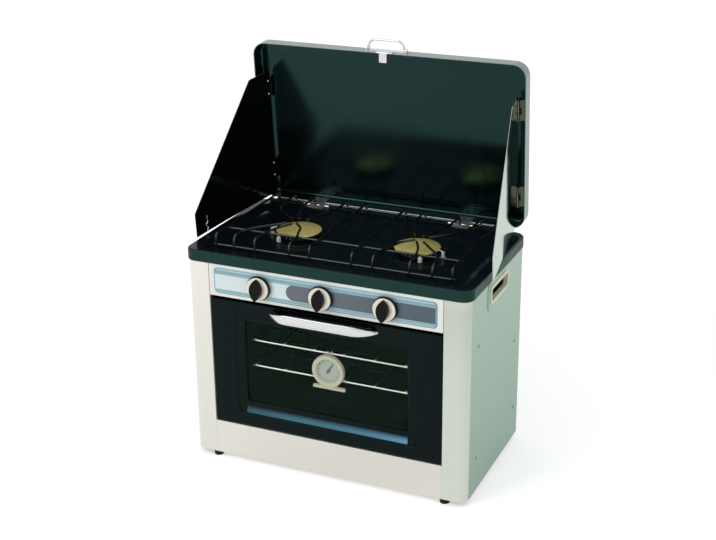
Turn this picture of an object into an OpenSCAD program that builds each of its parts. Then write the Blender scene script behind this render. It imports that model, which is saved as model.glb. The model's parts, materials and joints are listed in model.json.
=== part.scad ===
// Folding camp oven: a sheet-metal cabinet with a gas oven, a two-burner hob and a folding lid.
// Millimetres. X runs right, Y runs back, Z runs up. The origin is on the ground, under the
// middle of the cabinet. The lid stands open and leans on its two hinged wind panels.

/* [Cabinet] */
// Width over the two side panels
cab_w = 554; // [520:1:600]
// Depth from the front to the back panel
cab_d = 298; // [285:1:330]
// Thickness of the cabinet's sheet
sheet = 1; // [0.8:0.1:1.2]
// Height of the rubber feet
foot_h = 10; // [6:1:20]
// Radius of a rubber foot
foot_r = 9; // [7:0.5:10]
// Radius of the upright front corners
corner_r = 18; // [12:1:24]
// Width of the column at each side of the door
column_w = 46.5; // [42:0.5:50]
// Height of the kick panel under the door
kick_h = 68; // [55:1:80]
// Height of the control panel that shows under the hob
control_h = 63; // [60:1:75]

/* [Side handles] */
// Length of the hand slot
slot_l = 91; // [80:1:110]
// Height of the hand slot
slot_h = 25; // [20:1:28]
// Middle of the slot, behind the middle of the cabinet
slot_y = 9.5; // [0:0.5:20]
// Width of the trim ring round the slot
trim_w = 6; // [4:0.5:8]

/* [Hob] */
// Width of the hob pan
pan_w = 560; // [540:1:610]
// Overhang of the pan behind the cabinet
pan_back_lip = 14; // [8:1:26]
// Height of the pan's skirt
skirt_h = 22; // [18:1:26]
// Depth of the recess in the pan
recess_h = 8; // [6:0.5:10]
// Width of the pan's rim at the sides
rim_side = 20; // [16:1:24]
// Width of the pan's rim at the front
rim_front = 22; // [18:1:26]
// Width of the pan's rim at the back
rim_back = 30; // [28:1:36]
// Distance from the middle to each burner
burner_x = 120; // [112:1:128]
// How far the burners lie behind the middle
burner_y = 8; // [0:1:16]
// Radius of a burner cap
cap_r = 43; // [38:0.5:46]
// Thickness of the grate's wire
grate_d = 4.5; // [4:0.25:5]
// Height of the grate's wires above the pan's rim
grate_h = 21.5; // [19:0.5:22]

/* [Controls] */
// Distance between the knobs
knob_pitch = 124; // [110:1:140]
// Height of the knobs above the control panel's lower edge
knob_up = 31; // [27:0.5:34]
// Radius of a knob's skirt
knob_r = 23.5; // [20:0.5:25]
// Depth of the grip in front of the knob's disc
grip_d = 11; // [10:1:20]
// Width of the grip
grip_w = 22; // [16:1:26]
// Radius of a valve spindle
spindle_r = 3; // [2.5:0.1:3.5]

/* [Door] */
// Height of the door
door_h = 253; // [240:1:275]
// Thickness of the door
door_t = 20; // [18:0.5:22]
// Width of the window
window_w = 325; // [300:1:330]
// Height of the window
window_h = 167.5; // [150:0.5:180]
// Thickness of the glass
glass_t = 4; // [3:0.5:5]
// Length of the straight part of the handle
handle_l = 130; // [120:1:150]
// Height of the handle's flat bar
handle_h = 18; // [14:1:18]
// Reach of the handle in front of the door
handle_reach = 24; // [20:1:32]

/* [Oven] */
// Inner width of the oven
oven_w = 326; // [322:1:340]
// Thickness of the rack's rods
rack_d = 4; // [3.5:0.25:5]
// Height of the lower rack above the oven floor
lower_rack_h = 96.5; // [80:0.5:105]
// Distance between the two racks
rack_gap = 52; // [46:1:60]
// Radius of the hanging thermometer
dial_r = 32; // [26:0.5:34]

/* [Lid] */
// Depth of the lid's tray
lid_t = 30; // [26:1:34]
// Radius of the lid's corners
lid_r = 26; // [20:1:30]
// Lean of the open lid towards the hob, in degrees
lid_lean = 4.5; // [3:0.25:5]
// Reach of a wind panel from its hinge to its front edge
wind_reach = 268; // [262:1:270]
// Height of a wind panel at its hinge
wind_h = 255; // [235:1:258]
// Height of a wind panel at its front edge
wind_front_h = 48; // [40:1:60]
// Swing of a wind panel past square, in degrees
wind_swing = 8.55; // [8:0.05:9.5]
// Width between the legs of the carrying bail
bail_w = 70; // [60:1:80]
// Height of the carrying bail
bail_h = 17; // [14:1:20]

/* [Hidden] */
$fn = 48;
run = 0.05;      // radial clearance of a pin in its bore
seat = 0.2;      // clearance between nested sheets
near = 0.3;      // clearance between pieces that move past each other
eps = 0.02;

cab_x = cab_w / 2;
front_y = -cab_d / 2;
back_y = cab_d / 2;
column_x = cab_x - column_w;
kick_z = foot_h;
kick_top = kick_z + kick_h;
door_low_gap = 2;
door_top_gap = 6;
door_z0 = kick_top + door_low_gap;
door_z1 = door_z0 + door_h;
control_z0 = door_z1 + door_top_gap;
skirt_z = control_z0 + control_h;
pan_top = skirt_z + skirt_h;

// The pan reaches a little over the front and further over the back
pan_x = pan_w / 2;
pan_front = front_y - 2;
pan_back = back_y + pan_back_lip;
pan_d = pan_back - pan_front;
pan_corner = 22;
pan_edge = 4;
recess_r = 20;
recess_slope = 15;
recess_x = pan_x - rim_side;
recess_y0 = pan_front + rim_front;
recess_y1 = pan_back - rim_back;
recess_floor = pan_top - recess_h;
hole_r = 13;

// Oven and door places, from the front to the back
door_recess = 1;
door_y = front_y + door_recess;
door_x = column_x - 1.5;
door_back = door_y + door_t;
seal_t = 1.7;
flange_y = door_back + seal_t + near;
hinge_y = door_y + door_t / 2;
hinge_up = 9;
hinge_z = door_z0 + hinge_up;
hinge_pin_r = 3;
oven_x = oven_w / 2;
oven_z0 = door_z0 + 20;
oven_z1 = door_z1 - 13;
oven_back = back_y - 20;
frame_x = column_x + 10;
window_z0 = door_z0 + 49;
window_z1 = window_z0 + window_h;
pane_lap = 5.5;
frame_step = 3;
frame_side = 18.5;
frame_low = 24;
frame_high = 15.5;
pane_y = door_y + sheet + frame_step + sheet;

rack_y = flange_y + 4;
rack_back = oven_back - 12;
rack_x = oven_x - 5;
rack_wire = 3;
lower_z = oven_z0 + lower_rack_h;
upper_z = lower_z + rack_gap;
rail_w = 15;
rail_t = 2;
dial_z = upper_z - dial_r - 1;
case_y = rack_y - rack_d / 2 - near;
case_t = 9.5;
bezel = 5;

knob_z = control_z0 + knob_up;
field_t = 1.5;
fascia_t = 0.5;
field_y = front_y - field_t;
fascia_y = field_y - fascia_t;
push = 3;
knob_y = fascia_y - push - near;
skirt_t = 4.5;
disc_t = 4;
disc_r = knob_r - 2;
hub_r = disc_r - 12;
collar_t = 4;
manifold_y = front_y + 45;
manifold_r = 6;
manifold_x = cab_x - 37;
venturi_z = recess_floor - 19;
venturi_r = 9;
inlet_r = 4;
inlet_l = 18;

// The lid turns about its hinge pins, just in front of its rim
lid_gap = 3;
lid_x = pan_x - 5;
lid_w = 2 * lid_x;
lid_l = pan_d + 6;
pivot_y = pan_back - lid_gap;
pivot_z = pan_top + 5;
lid_hinge_x = 153;
lid_hinge_l = 32;
lid_knuckle_r = 2.7;
lid_pin_r = 1.3;
wind_t = 1;
wind_x = lid_x - 21;
wind_n = lid_gap + lid_t - 5;
wind_stagger = 2.5;
wind_low = 3.4;
wind_rise = 3.4;
wind_high_s = 70;
wind_knuckle_r = 3;
wind_pin_r = 1.2;
wind_hinge_l = 40;
wind_hinge_u = [55, 226];
leaf_t = 1.2;
clip_s = wind_reach - 33;
clip_u = wind_low + wind_rise + 33.2;
clip_r = 1.1;
bail_r = 2;
bail_n = lid_gap + lid_t / 2;
bail_u = lid_l + 4;
bail_side = bail_w / 2;
hasp_w = 15;
hasp_l = 18;
hasp_r = 2;
hasp_pin_r = 1;

steel = [0.80, 0.80, 0.76];
green_steel = [0.62, 0.72, 0.66];
black = [0.07, 0.08, 0.09];
chrome = [0.86, 0.86, 0.86];
brass = [0.80, 0.72, 0.42];

// Helpers
module block(x0, x1, y0, y1, z0, z1) {
    translate([x0, y0, z0]) cube([x1 - x0, y1 - y0, z1 - z0]);
}
module x_rod(y, z, x0, x1, r) {
    translate([x0, y, z]) rotate([0, 90, 0]) cylinder(r = r, h = x1 - x0);
}
module y_rod(x, z, y0, y1, r) {
    translate([x, y1, z]) rotate([90, 0, 0]) cylinder(r = r, h = y1 - y0);
}
module z_rod(x, y, z0, z1, r) {
    translate([x, y, z0]) cylinder(r = r, h = z1 - z0);
}
module rounded(w, d, r) {
    square([w - 2 * r, d], center = true);
    square([w, d - 2 * r], center = true);
    for (i = [-1, 1], j = [-1, 1])
        translate([i * (w / 2 - r), j * (d / 2 - r)]) circle(r = r);
}
module xy_plate(x0, x1, y0, y1, r, z0, z1) {
    translate([(x0 + x1) / 2, (y0 + y1) / 2, z0])
        linear_extrude(z1 - z0) rounded(x1 - x0, y1 - y0, r);
}
module xz_plate(x0, x1, z0, z1, r, y0, y1) {
    translate([(x0 + x1) / 2, y1, (z0 + z1) / 2])
        rotate([90, 0, 0]) linear_extrude(y1 - y0) rounded(x1 - x0, z1 - z0, r);
}
module yz_plate(y0, y1, z0, z1, r, x0, x1) {
    translate([x0, (y0 + y1) / 2, (z0 + z1) / 2])
        rotate([90, 0, 90]) linear_extrude(x1 - x0) rounded(y1 - y0, z1 - z0, r);
}
module on_side(side) {
    if (side < 0) mirror([1, 0, 0]) children();
    else children();
}
module strut(a, b, r) {
    v = b - a;
    translate(a) rotate([0, acos(v[2] / norm(v)), atan2(v[1], v[0])])
        cylinder(r = r, h = norm(v));
}
module wire(points, d) {
    for (i = [0 : len(points) - 2]) strut(points[i], points[i + 1], d / 2);
    if (len(points) > 2)
        for (i = [1 : len(points) - 2]) translate(points[i]) sphere(d = d + 0.2);
}
// Places a piece in the lid: x across, y through its depth from the pivot, z up along it
module in_lid() {
    translate([0, pivot_y, pivot_z]) rotate([lid_lean, 0, 0]) children();
}
function wind_depth(side) = wind_n - (side > 0 ? wind_stagger : 0);
// Places a piece on a wind panel: x through the sheet, outwards, y towards the hinge, z up
module on_wind(side) {
    in_lid() on_side(side) translate([wind_x, wind_depth(side), 0]) rotate([0, 0, wind_swing])
        children();
}

// Cabinet
// The sheets end below the pan's rounded edge, and a fold turned inwards carries the pan
fold_z = pan_top - pan_edge;
fold_h = pan_edge - sheet;
fold_w = 10;
module top_fold(length) {
    rotate([90, 0, 0]) linear_extrude(length, center = true)
        polygon([[0, -eps], [sheet, -eps], [sheet, sheet], [-2 * sheet, fold_h],
            [-fold_w, fold_h], [-fold_w, fold_h - sheet], [-2 * sheet, fold_h - sheet],
            [0, sheet / 4]]);
}
module side_panel(side) {
    fold_y0 = front_y + pan_corner;
    fold_y1 = back_y - 2 * sheet - seat;
    color(green_steel) on_side(side) difference() {
        union() {
            translate([cab_x - sheet, (fold_y0 + fold_y1) / 2, fold_z])
                top_fold(fold_y1 - fold_y0);
            translate([0, 0, kick_z]) linear_extrude(fold_z - kick_z) {
                translate([column_x, front_y]) square([column_w - corner_r, sheet]);
                translate([column_x, front_y]) square([sheet, flange_y - front_y]);
                intersection() {
                    translate([cab_x - corner_r, front_y + corner_r]) difference() {
                        circle(r = corner_r);
                        circle(r = corner_r - sheet);
                    }
                    translate([cab_x - corner_r, front_y]) square(corner_r);
                }
                translate([cab_x - sheet, front_y + corner_r])
                    square([sheet, cab_d - corner_r]);
                translate([cab_x - 14, back_y - sheet]) square([14, sheet]);
            }
            yz_plate(slot_y - slot_l / 2 - boss_front, slot_y + slot_l / 2 + boss_back,
                handle_z - slot_h / 2 - boss_low, skirt_z - 2, 14, cab_x - eps, cab_x + boss_t);
        }
        hand_slot(cab_x - 2 * sheet, cab_x + boss_t + sheet, 0);
        x_rod(hinge_y, hinge_z, column_x - sheet, column_x + 2 * sheet, hinge_pin_r + run);
    }
}
boss_t = 1.2;
boss_front = 16;
boss_back = 68;
boss_low = 16;
handle_z = skirt_z - 28.5;
module hand_slot(x0, x1, grow) {
    yz_plate(slot_y - slot_l / 2 - grow, slot_y + slot_l / 2 + grow,
        handle_z - slot_h / 2 - grow, handle_z + slot_h / 2 + grow, 5 + grow, x0, x1);
}
module left_side_panel() { side_panel(-1); }
module right_side_panel() { side_panel(1); }

module side_handle_trims() {
    color([0.78, 0.74, 0.60]) for (side = [-1, 1]) on_side(side) {
        difference() {
            union() {
                hand_slot(cab_x + boss_t, cab_x + boss_t + 1.6, trim_w);
                hand_slot(cab_x - 6, cab_x + boss_t + 1.6, -seat);
            }
            hand_slot(cab_x - 7, cab_x + boss_t + 3, -seat - sheet);
        }
    }
}

vent_n = 7;
vent_pitch = 52;
vent_l = 36;
vent_h = 5;
module back_panel() {
    color(green_steel) difference() {
        block(-cab_x + sheet + seat, cab_x - sheet - seat, back_y - 2 * sheet, back_y - sheet,
            kick_z + sheet, pan_top - sheet);
        for (i = [0 : vent_n - 1], z = [kick_z + 40, kick_z + 56, pan_top - 66, pan_top - 50])
            translate([(i - (vent_n - 1) / 2) * vent_pitch, 0, z])
                xz_plate(-vent_l / 2, vent_l / 2, -vent_h / 2, vent_h / 2, 2,
                    back_y - 3 * sheet, back_y);
        y_rod(manifold_x, knob_z, back_y - 3 * sheet, back_y, manifold_r + 1 + seat);
    }
}

module base_tray() {
    color(green_steel) {
        block(-cab_x + sheet + seat, cab_x - sheet - seat, front_y + 20 + sheet,
            back_y - 2 * sheet, kick_z, kick_z + sheet);
        for (side = [-1, 1]) on_side(side)
            block(cab_x - 2 * sheet - seat, cab_x - sheet - seat, front_y + 20 + sheet,
                back_y - 2 * sheet, kick_z, kick_z + 12);
    }
}

module kick_panel() {
    kick_x = column_x - seat;
    color(steel) {
        block(-kick_x, kick_x, front_y, front_y + sheet, kick_z, kick_top);
        block(-kick_x, kick_x, front_y, front_y + 20 + sheet, kick_z, kick_z + sheet);
        block(-kick_x, kick_x, front_y, front_y + 20, kick_top - 6, kick_top - 6 + sheet);
    }
}

field_x = column_x - 14;
field_z0 = control_z0 + 8.5;
field_z1 = skirt_z - 9;
module knob_holes(x_list) {
    for (x = x_list) y_rod(x, knob_z, fascia_y - 1, front_y + 2 * sheet, spindle_r + 3);
}
module control_panel() {
    panel_x = column_x - 1;
    color([0.74, 0.80, 0.83]) difference() {
        union() {
            block(-panel_x, panel_x, front_y, front_y + sheet, control_z0, fold_z);
            translate([0, front_y + sheet, fold_z]) rotate([0, 0, -90]) top_fold(2 * panel_x);
            block(-panel_x, panel_x, front_y, flange_y, control_z0, control_z0 + sheet);
            xz_plate(-field_x, field_x, field_z0, field_z1, 5, field_y, front_y + eps);
        }
        knob_holes([-knob_pitch, 0, knob_pitch]);
    }
}

module control_fascia() {
    z0 = field_z0 + 7;
    z1 = field_z1 - 9;
    r = (z1 - z0) / 2;
    x0 = -knob_pitch / 2 - 9;
    color([0.42, 0.45, 0.48]) difference() {
        union() {
            y_rod(x0 + r, z0 + r, fascia_y, field_y, r);
            block(x0 + r, field_x - 0.5, fascia_y, field_y, z0, z1);
        }
        knob_holes([0, knob_pitch]);
    }
}

module feet() {
    color(black) for (x = [-1, 1], y = [front_y + foot_r + sheet, back_y - 19])
        z_rod(x * (column_x + 3), y, 0, foot_h, foot_r);
}

screw_r = 3.5;
screw_h = 1.4;
module panel_screws() {
    color(chrome) {
        for (side = [-1, 1], p = [[116, 221], [121, 77], [-96, 77], [-96, 300]])
            on_side(side) x_rod(p[0] / 149 * back_y, p[1] / 424 * pan_top, cab_x,
                cab_x + screw_h, screw_r);
        for (x = [-1, 1], z = [kick_z + 20, pan_top / 2, pan_top - 36])
            y_rod(x * (cab_x - 7), z, back_y, back_y + screw_h, screw_r);
    }
}

// Hob
module pan_slab(inset, z0, z1) {
    xy_plate(-pan_x + inset, pan_x - inset, pan_front + inset, pan_back - inset,
        pan_corner - inset, z0, z1, $fn = 32);
}
module pan_form(inset, z0, top) {
    hull() {
        pan_slab(inset, z0, top - pan_edge);
        pan_slab(inset + pan_edge * 0.12, top - pan_edge * 0.5, top - pan_edge * 0.4);
        pan_slab(inset + pan_edge * 0.45, top - pan_edge * 0.15, top - pan_edge * 0.1);
        pan_slab(inset + pan_edge, top - pan_edge * 0.05, top);
    }
}
module recess_slab(inset, z0, z1) {
    xy_plate(-recess_x + inset, recess_x - inset, recess_y0 + inset, recess_y1 - inset,
        recess_r, z0, z1, $fn = 32);
}
module recess_form(grow, floor_z, top) {
    hull() {
        recess_slab(recess_slope - grow, floor_z, floor_z + 0.1);
        recess_slab(-grow, top - 0.1, top);
    }
}
module hob_pan() {
    color(black) difference() {
        union() {
            difference() {
                pan_form(0, skirt_z, pan_top);
                pan_form(sheet, skirt_z - 1, pan_top - sheet);
            }
            recess_form(sheet, recess_floor - sheet, pan_top - sheet / 2);
        }
        recess_form(0, recess_floor, pan_top + 0.1);
        for (side = [-1, 1]) on_side(side) {
            z_rod(burner_x, burner_y, recess_floor - 2 * sheet, pan_top, hole_r);
            for (p = probe_at) z_rod(p[0], p[1], recess_floor - 2 * sheet, pan_top, probe_r + 0.3);
        }
    }
}

probe_r = 3;
probe_at = [[burner_x + cap_r + 10, burner_y - 8], [burner_x + 22, burner_y - cap_r]];
module burner_probes() {
    color([0.9, 0.9, 0.88]) for (side = [-1, 1]) on_side(side) {
        p = probe_at[0];
        z_rod(p[0], p[1], recess_floor - 14, recess_floor + 12, probe_r);
        z_rod(p[0], p[1], recess_floor, recess_floor + 2, probe_r + 2);
        hull() {
            translate([p[0], p[1], recess_floor + 12]) sphere(r = 1, $fn = 12);
            translate([p[0] - 9, p[1] + 1, recess_floor + 15]) sphere(r = 0.8, $fn = 12);
        }
        q = probe_at[1];
        z_rod(q[0], q[1], recess_floor - 14, recess_floor + 13, probe_r - 1);
        z_rod(q[0], q[1], recess_floor, recess_floor + 8, probe_r + 1);
    }
}

head_r = cap_r - 6;
head_h = 11;
cap_z = recess_floor + head_h;
port_n = 30;
module burner_heads() {
    color([0.16, 0.16, 0.15]) for (side = [-1, 1]) on_side(side)
        translate([burner_x, burner_y, 0]) difference() {
            union() {
                z_rod(0, 0, recess_floor, recess_floor + 3, head_r - 6);
                z_rod(0, 0, recess_floor + 3, cap_z, head_r);
            }
            z_rod(0, 0, recess_floor - 1, cap_z + 1, venturi_r);
            z_rod(0, 0, cap_z - 4, cap_z + 1, head_r - 6);
            for (i = [0 : port_n - 1]) rotate([0, 0, i * 360 / port_n])
                block(head_r - 8, head_r + 1, -1, 1, cap_z - 3, cap_z + 1);
        }
}
module burner_caps() {
    color(brass) for (side = [-1, 1]) on_side(side) translate([burner_x, burner_y, cap_z])
        rotate_extrude() polygon([[0, 0], [cap_r - 1, 0], [cap_r, 1.2], [cap_r - 0.6, 2.4],
            [cap_r - 13, 5.2], [12, 6.2], [0, 6.5]]);
}
module burner_venturis() {
    mouth_y = manifold_y - 8;
    color([0.55, 0.55, 0.52]) for (side = [-1, 1]) on_side(side) difference() {
        union() {
            y_rod(burner_x, venturi_z, mouth_y, burner_y, venturi_r);
            y_rod(burner_x, venturi_z, mouth_y, mouth_y + 12, venturi_r + 2);
            z_rod(burner_x, burner_y, venturi_z, recess_floor, venturi_r + 2);
            translate([burner_x, burner_y, venturi_z]) sphere(r = venturi_r + 2);
        }
        y_rod(burner_x, venturi_z, mouth_y - 1, burner_y, venturi_r - 1.5);
        z_rod(burner_x, burner_y, venturi_z, recess_floor + 1, venturi_r - 1.5);
    }
}

// Grate: cross wires with legs at both ends, three long rods and curved fingers at each burner
grate_z = pan_top + grate_h;
grate_y0 = recess_y0 + recess_slope + 2;
grate_y1 = recess_y1 + 15;
cross_x = [burner_x - 78.5, burner_x - 38, burner_x + 32, burner_x + 74.5, burner_x + 111.5];
front_rod_z = recess_floor + 9;
back_rod_z = pan_top + 9;
second_rod_y = burner_y - cap_r - 28;
module cross_wire(x) {
    wire([[x, grate_y0, recess_floor], [x, grate_y0, grate_z - 3],
        [x, grate_y0 + 3, grate_z], [x, grate_y1 - 3, grate_z], [x, grate_y1, grate_z - 3],
        [x, grate_y1, pan_top]], grate_d);
}
module finger(x, dir, tip_x, tip_y) {
    end_y = dir < 0 ? grate_y0 : grate_y1;
    foot_z = dir < 0 ? recess_floor : back_rod_z - grate_d;
    bend_y = burner_y + dir * (cap_r + 16);
    wire([[x, end_y, foot_z], [x, end_y, grate_z - 3],
        [x, end_y - dir * 3, grate_z], [x, bend_y, grate_z],
        [(2 * x + tip_x) / 3, (bend_y + tip_y) / 2, grate_z], [tip_x, tip_y, grate_z]], grate_d);
}
module pan_grate() {
    rod_x = cross_x[4] + 4;
    color(black) {
        for (side = [-1, 1]) on_side(side) {
            for (i = [0, 4]) cross_wire(cross_x[i]);
            finger(cross_x[1], -1, burner_x - 9, burner_y - 12);
            finger(cross_x[2], -1, burner_x + 3, burner_y - 14);
            finger(cross_x[3], -1, burner_x + 16, burner_y - 10);
            finger(cross_x[1], 1, burner_x - 12, burner_y + 14);
            finger(cross_x[2], 1, burner_x + 4, burner_y + 14);
            finger(cross_x[3], 1, burner_x + 20, burner_y + 12);
        }
        for (p = [[grate_y0 + 0.9, front_rod_z], [second_rod_y, grate_z - grate_d + 0.7],
            [grate_y1 - 0.9, back_rod_z]])
            wire([[-rod_x, p[0], p[1]], [rod_x, p[0], p[1]]], grate_d + 0.1);
    }
}

// Gas train
module gas_manifold() {
    bore = manifold_r - 1.5;
    x0 = -knob_pitch - 16;
    color([0.72, 0.62, 0.35]) difference() {
        union() {
            x_rod(manifold_y, knob_z, x0, manifold_x, manifold_r);
            y_rod(manifold_x, knob_z, manifold_y, back_y - 10, manifold_r);
            translate([manifold_x, manifold_y, knob_z]) sphere(r = manifold_r);
        }
        x_rod(manifold_y, knob_z, x0 + 3, manifold_x, bore);
        y_rod(manifold_x, knob_z, manifold_y, back_y - 9, bore);
    }
}
module gas_inlet() {
    wall = back_y - sheet;
    color(brass) {
        y_rod(manifold_x, knob_z, back_y - 10, wall, manifold_r + 1);
        y_rod(manifold_x, knob_z, wall, wall + 6, manifold_r + 5, $fn = 6);
        y_rod(manifold_x, knob_z, wall + 6, wall + 6 + inlet_l, inlet_r);
    }
}
module valve(x) {
    body_y = front_y + sheet + collar_t;
    difference() {
        union() {
            y_rod(x, knob_z, front_y + sheet, body_y, 10);
            y_rod(x, knob_z, body_y, manifold_y - 8, 8);
            block(x - 10, x + 10, manifold_y - 10, manifold_y + 9, knob_z - 9, knob_z + 9);
        }
        y_rod(x, knob_z, front_y, manifold_y - 22, spindle_r + run);
        x_rod(manifold_y, knob_z, x - 11, x + 11, manifold_r + run);
    }
}
module gas_valves() {
    jet_y = front_y + 24;
    color(brass) {
        for (i = [-1, 0, 1]) valve(i * knob_pitch);
        for (side = [-1, 1]) on_side(side) {
            z_rod(burner_x, jet_y, knob_z + 6, venturi_z + 4, 4);
            y_rod(burner_x, venturi_z, jet_y, manifold_y - 6, 3);
        }
    }
}
module spindle(x) {
    color(chrome) y_rod(x, knob_z, knob_y - skirt_t - disc_t - 4.5, manifold_y - 22.5, spindle_r);
}
module left_spindle() { spindle(-knob_pitch); }
module middle_spindle() { spindle(0); }
module right_spindle() { spindle(knob_pitch); }

module knob(x) {
    grip_h = 2 * disc_r - 2;
    arc_r = (grip_h * grip_h + grip_w * grip_w) / (4 * grip_w);
    disc_y = knob_y - skirt_t;
    grip_y = disc_y - disc_t;
    color(black) difference() {
        union() {
            y_rod(x, knob_z, disc_y, knob_y, knob_r);
            y_rod(x, knob_z, grip_y - eps, disc_y + eps, hub_r - run);
            translate([x, grip_y, knob_z]) rotate([90, 0, 0]) linear_extrude(grip_d)
                intersection() {
                    translate([arc_r - grip_w / 2, 0]) circle(r = arc_r, $fn = 96);
                    translate([grip_w / 2 - arc_r, 0]) circle(r = arc_r, $fn = 96);
                }
        }
        y_rod(x, knob_z, grip_y - 5 - push, knob_y + 1, spindle_r + run);
    }
}
module left_knob() { knob(-knob_pitch); }
module middle_knob() { knob(0); }
module right_knob() { knob(knob_pitch); }

module knob_disc(x) {
    disc_y = knob_y - skirt_t;
    color(chrome) translate([x, disc_y, knob_z]) rotate([90, 0, 0]) rotate_extrude()
        polygon([[hub_r, 0], [disc_r, 0], [disc_r, disc_t - 1.5], [disc_r - 1.5, disc_t],
            [disc_r - 5, disc_t], [disc_r - 7, disc_t - 0.6], [hub_r, disc_t - 0.6]]);
}
module left_knob_disc() { knob_disc(-knob_pitch); }
module middle_knob_disc() { knob_disc(0); }
module right_knob_disc() { knob_disc(knob_pitch); }

// Oven
module oven_liner() {
    color([0.20, 0.21, 0.21]) difference() {
        union() {
            block(-oven_x - sheet, oven_x + sheet, flange_y, oven_back, oven_z0 - sheet,
                oven_z1 + sheet);
            block(-frame_x, frame_x, flange_y, flange_y + sheet, door_z0 + 2, control_z0 + 14);
        }
        difference() {
            block(-oven_x, oven_x, flange_y - 1, oven_back - sheet, oven_z0, oven_z1);
            for (side = [-1, 1], z = [lower_z, upper_z]) on_side(side)
                block(oven_x - rail_w, oven_x + 1, flange_y + sheet, oven_back,
                    z - rack_d / 2 - near - rail_t, z - rack_d / 2 - near);
        }
        x_rod(0, burner_z, oven_x - 1, oven_x + 2 * sheet, burner_tube_r + seat);
    }
}
burner_tube_r = 8;
burner_z = oven_z0 + 15;
module oven_burner() {
    pipe_x = oven_x + 32;
    pipe_z = oven_z1 + 22;
    color([0.60, 0.60, 0.57]) {
        difference() {
            x_rod(0, burner_z, -oven_x + 40, oven_x + 8, burner_tube_r);
            x_rod(0, burner_z, -oven_x + 42, oven_x + 6, burner_tube_r - 1.5);
            for (i = [0 : 13]) z_rod(-oven_x + 54 + i * (2 * oven_x - 94) / 13, 0, burner_z,
                burner_z + burner_tube_r + 1, 1.5, $fn = 16);
        }
        wire([[oven_x + 7, 0, burner_z], [pipe_x, 0, burner_z], [pipe_x, manifold_y, burner_z],
            [pipe_x, manifold_y, pipe_z], [0, manifold_y, pipe_z],
            [0, manifold_y, knob_z - 9 - 3]], 6);
    }
}
module heat_plate() {
    plate_z = burner_z + burner_tube_r + 5;
    plate_x = oven_x - 14;
    color([0.32, 0.32, 0.31]) {
        xy_plate(-plate_x, plate_x, flange_y + 24, oven_back - 16, 6, plate_z, plate_z + 1.5);
        for (x = [-1, 1], y = [flange_y + 34, oven_back - 26])
            z_rod(x * (plate_x - 12), y, oven_z0, plate_z, 3);
    }
}

module rack(z) {
    tie_n = 6;
    tie_x = rack_x - 7;
    color(chrome) {
        for (y = [rack_y, rack_back]) x_rod(y, z, -rack_x, rack_x, rack_d / 2);
        for (i = [1 : 3]) x_rod(rack_y + i * (rack_back - rack_y) / 4, z + rack_d / 2
            - rack_wire / 2, -rack_x, rack_x, rack_wire / 2);
        for (i = [0 : tie_n - 1])
            y_rod(-tie_x + i * 2 * tie_x / (tie_n - 1), z + rack_d / 2 + rack_wire / 2 - 0.5,
                rack_y - 1.5, rack_back + 3, rack_wire / 2);
    }
}
module upper_rack() { rack(upper_z); }
module lower_rack() { rack(lower_z); }

module thermometer_case() {
    front = case_y - case_t;
    hook_w = 10;
    hook_z = upper_z + rack_d / 2 + near;
    hook_y = rack_y + rack_d / 2 + near;
    color(chrome) {
        difference() {
            y_rod(0, dial_z, front, case_y, dial_r);
            y_rod(0, dial_z, front - 1, dial_y, dial_r - bezel);
        }
        block(-dial_r, dial_r, case_y - 5, case_y, dial_z - dial_r - 6, dial_z - dial_r + 0.5);
        block(-dial_r * 0.55, dial_r * 0.55, dial_y, case_y, dial_z - dial_r - 1,
            dial_z - dial_r * 0.82);
        block(-hook_w / 2, hook_w / 2, case_y - 1.2, case_y, dial_z + dial_r - 4, hook_z + 1.2);
        block(-hook_w / 2, hook_w / 2, case_y - 1.2, hook_y + 1.2, hook_z, hook_z + 1.2);
        block(-hook_w / 2, hook_w / 2, hook_y, hook_y + 1.2, upper_z - 6, hook_z + 1.2);
    }
}
dial_y = case_y - 2.5;
post_r = 1;
module thermometer_dial() {
    color([0.92, 0.94, 0.88]) {
        y_rod(0, dial_z, dial_y - 0.6, dial_y, dial_r - bezel - run);
        y_rod(0, dial_z, dial_y - 3.2, dial_y - 0.6, post_r);
    }
}
module thermometer_pointer() {
    color([0.5, 0.08, 0.08]) translate([0, dial_y - 1.4, dial_z]) rotate([90, 0, 0])
        difference() {
            union() {
                cylinder(r = 3, h = 0.8);
                rotate([0, 0, 58]) linear_extrude(0.8)
                    polygon([[-6, -1.4], [dial_r - bezel - 8, -0.4], [dial_r - bezel - 8, 0.4],
                        [-6, 1.4]]);
            }
            translate([0, 0, -1]) cylinder(r = post_r + run, h = 3);
        }
}
module thermometer_lens() {
    color([0.8, 0.9, 0.9, 0.4])
        y_rod(0, dial_z, case_y - case_t + 0.5, case_y - case_t + 1.5, dial_r - bezel - run);
}

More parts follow.
